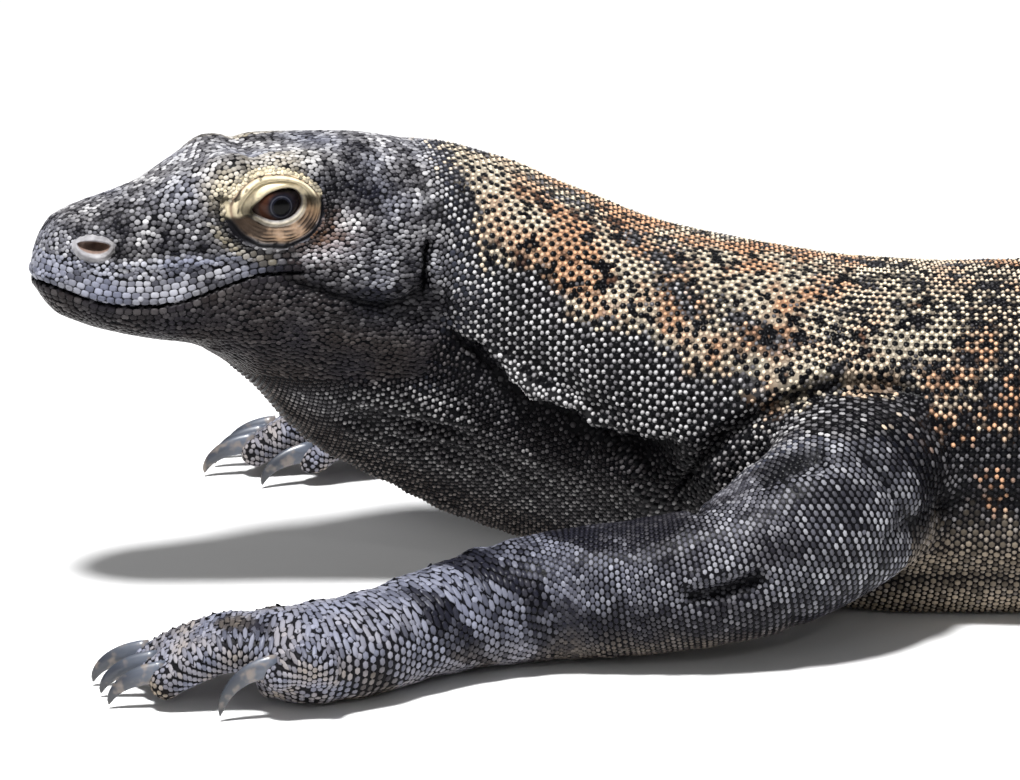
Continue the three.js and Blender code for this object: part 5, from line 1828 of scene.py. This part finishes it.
# %% One claw
def claw_rings(limb, side, digit, sides=16, sections=14):
    _, ahead, root = digit_rows(limb, side, digit)
    size = limb["claw"]
    across = np.cross(ahead, [0, 0, 1.0])
    rings = []
    for share in np.linspace(0, 1, sections) ** 0.9:
        bend = share * math.radians(85)
        middle = root + ahead * size["length"] * math.sin(bend) * 0.995
        middle = middle - [0, 0, (root[2] - 0.75) * (1 - math.cos(bend))]
        along = unit(ahead * math.cos(bend) - np.array([0, 0, 1.0]) * math.sin(bend) * 0.6)
        upward = np.cross(across, along)
        thin = (1 - share) ** 0.7
        wide, deep = 0.3 + (size["wide"] - 0.3) * thin, 0.3 + (size["deep"] - 0.3) * thin
        angle = 2 * np.pi * np.arange(sides) / sides
        ridge = 1 + 0.12 * np.maximum(np.sin(angle), 0) ** 6
        side_way, up_way = wide * np.cos(angle), deep * np.sin(angle) * ridge
        rings.append(middle + across * side_way[:, None] + upward * up_way[:, None])
    return np.array(rings)


# %% Sets of claws
def claw_set(kind, side):
    horns = [claw_rings(LIMBS[kind], side, digit) for digit in LIMBS[kind]["digits"]]
    share_of = [[*np.repeat(np.linspace(0, 1, len(horn)), horn.shape[1]), 0.0, 1.0] for horn in horns]
    mesh = tubes_mesh("claws_%s_%s" % ("hand" if kind == "arm" else "foot", side), horns)
    mesh.shade_smooth()
    turn_outwards(mesh)
    store(mesh, "share", "FLOAT", np.concatenate(share_of))
    return object_from(mesh)


claws = {(kind, side): claw_set(kind, side) for kind in LIMBS for side in ("left", "right")}
print("claw sets", [piece.name for piece in claws.values()])

# %% Horn
horn, tree, shader = new_material("claw horn", (0.10, 0.12, 0.15), Specular_IOR_Level=0.55, Coat_Weight=0.25,
                                  Coat_Roughness=0.2)
share = attribute_node(tree, "share", "Fac")
surface = put(tree, "ShaderNodeTexCoord").outputs["Object"]
drawn_out = put(tree, "ShaderNodeMapping", {0: surface, "Scale": (60, 420, 300)}).outputs[0]
streaks = noise_node(tree, drawn_out, 1.0, 4)
horn_colour = mix_node(tree, step_node(tree, share, 0.0, 0.55), (0.10, 0.115, 0.15), (0.032, 0.037, 0.05))
horn_colour = mix_node(tree, step_node(tree, share, 0.55, 1.0), horn_colour, (0.02, 0.02, 0.023))
horn_colour = mix_node(tree, step_node(tree, streaks, 0.5, 0.8, 0.0, 0.5), horn_colour, (0.035, 0.035, 0.04))
mud = step_node(tree, noise_node(tree, surface, 160), 0.5, 0.68, 0.0, 0.6)
horn_colour = mix_node(tree, mud, horn_colour, (0.26, 0.21, 0.17))
tree.links.new(horn_colour, shader.inputs["Base Color"])
tree.links.new(step_node(tree, streaks, 0.2, 0.8, 0.28, 0.5), shader.inputs["Roughness"])
bumped = put(tree, "ShaderNodeBump", {"Height": streaks, "Strength": 0.35, "Distance": 0.0003})
tree.links.new(bumped.outputs[0], shader.inputs["Normal"])
for piece in claws.values():
    piece.data.materials.append(horn)
print("horn", len(tree.nodes), "nodes")

# %% [markdown]
# ## What each piece stands for
# The frame's solids carry the weight and the contacts. Each of them is now replaced by a finished piece: the
# skin stands for all the flesh. The animal has no joints, so every piece rides on its one body.

# %% Riding and replacing
FLESH = ["head", "lower_jaw", "neck", "trunk_front", "trunk_rear", "tail_base", "tail_middle", "tail_end", "throat"]
FLESH += ["%s_%s" % (part, side) for part in ("upper_arm", "forearm", "hand", "thigh", "shank", "foot")
          for side in ("left", "right")]
for piece in [skin, *coat_pieces, *eyes.values(), *claws.values()]:
    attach(piece, "root")
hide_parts(*FLESH)
for side, eye in eyes.items():
    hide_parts("eye_" + side)
for (kind, side), piece in claws.items():
    part = "hand" if kind == "arm" else "foot"
    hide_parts(*["claw_%s_%s_%d" % (part, side, number + 1) for number in range(5)])

# %% [markdown]
# ## A plain studio
# A pale floor runs off in all directions. One soft light stands high above, a small one catches the eye, weak
# ones come from the front and the rear, and a faint sky fills the shadows. A long lens keeps proportions true.

# %% Floor
bpy.ops.mesh.primitive_plane_add(size=30)
floor = bpy.context.object
floor.name = "studio_floor"
FLOOR_GREY = (0.86, 0.86, 0.86, 1)
floor_look, _, _ = new_material("pale floor", (0.9, 0.9, 0.9), Roughness=0.9, Base_Color=FLOOR_GREY)
floor.data.materials.append(floor_look)
print("floor", floor.name)


# %% Lights
def area_light(name, place, target, width, power):
    lamp = bpy.data.lights.new(name, "AREA")
    lamp.shape, lamp.size, lamp.energy = "DISK", width, power
    made = object_from(lamp)
    made.location = place
    made.rotation_euler = (Vector(target) - Vector(place)).to_track_quat("-Z", "Y").to_euler()


area_light("top light", (-0.75, -0.75, 2.4), (-0.2, 0, 0.05), 0.42, 118)
area_light("eye light", (0.67, -1.94, 1.48), (-0.5, -0.03, 0.17), 0.09, 2.2)
area_light("front light", (-1.6, -2.6, 1.3), (-0.4, 0, 0.1), 1.2, 5)
area_light("rim light", (0.9, 2.2, 1.8), (-0.2, 0, 0.1), 1.2, 14)
world = bpy.data.worlds.new("studio sky")
bpy.context.scene.world = world
world.use_nodes = True
sky = world.node_tree.nodes["Background"].inputs
sky["Color"].default_value, sky["Strength"].default_value = (1, 1, 1, 1), 0.18
print("lights", len(bpy.data.lights))

# %% Camera
camera_data = bpy.data.cameras.new("camera")
camera_data.sensor_width, camera_data.lens = 36, 233.2
camera = object_from(camera_data)
camera.location, camera.rotation_euler = (-0.4, -2.6915, 0.8523), (math.radians(74), 0, 0)
bpy.context.scene.camera = camera
bpy.context.scene.view_settings.view_transform = "Standard"
print("camera at", [round(v, 3) for v in camera.location])
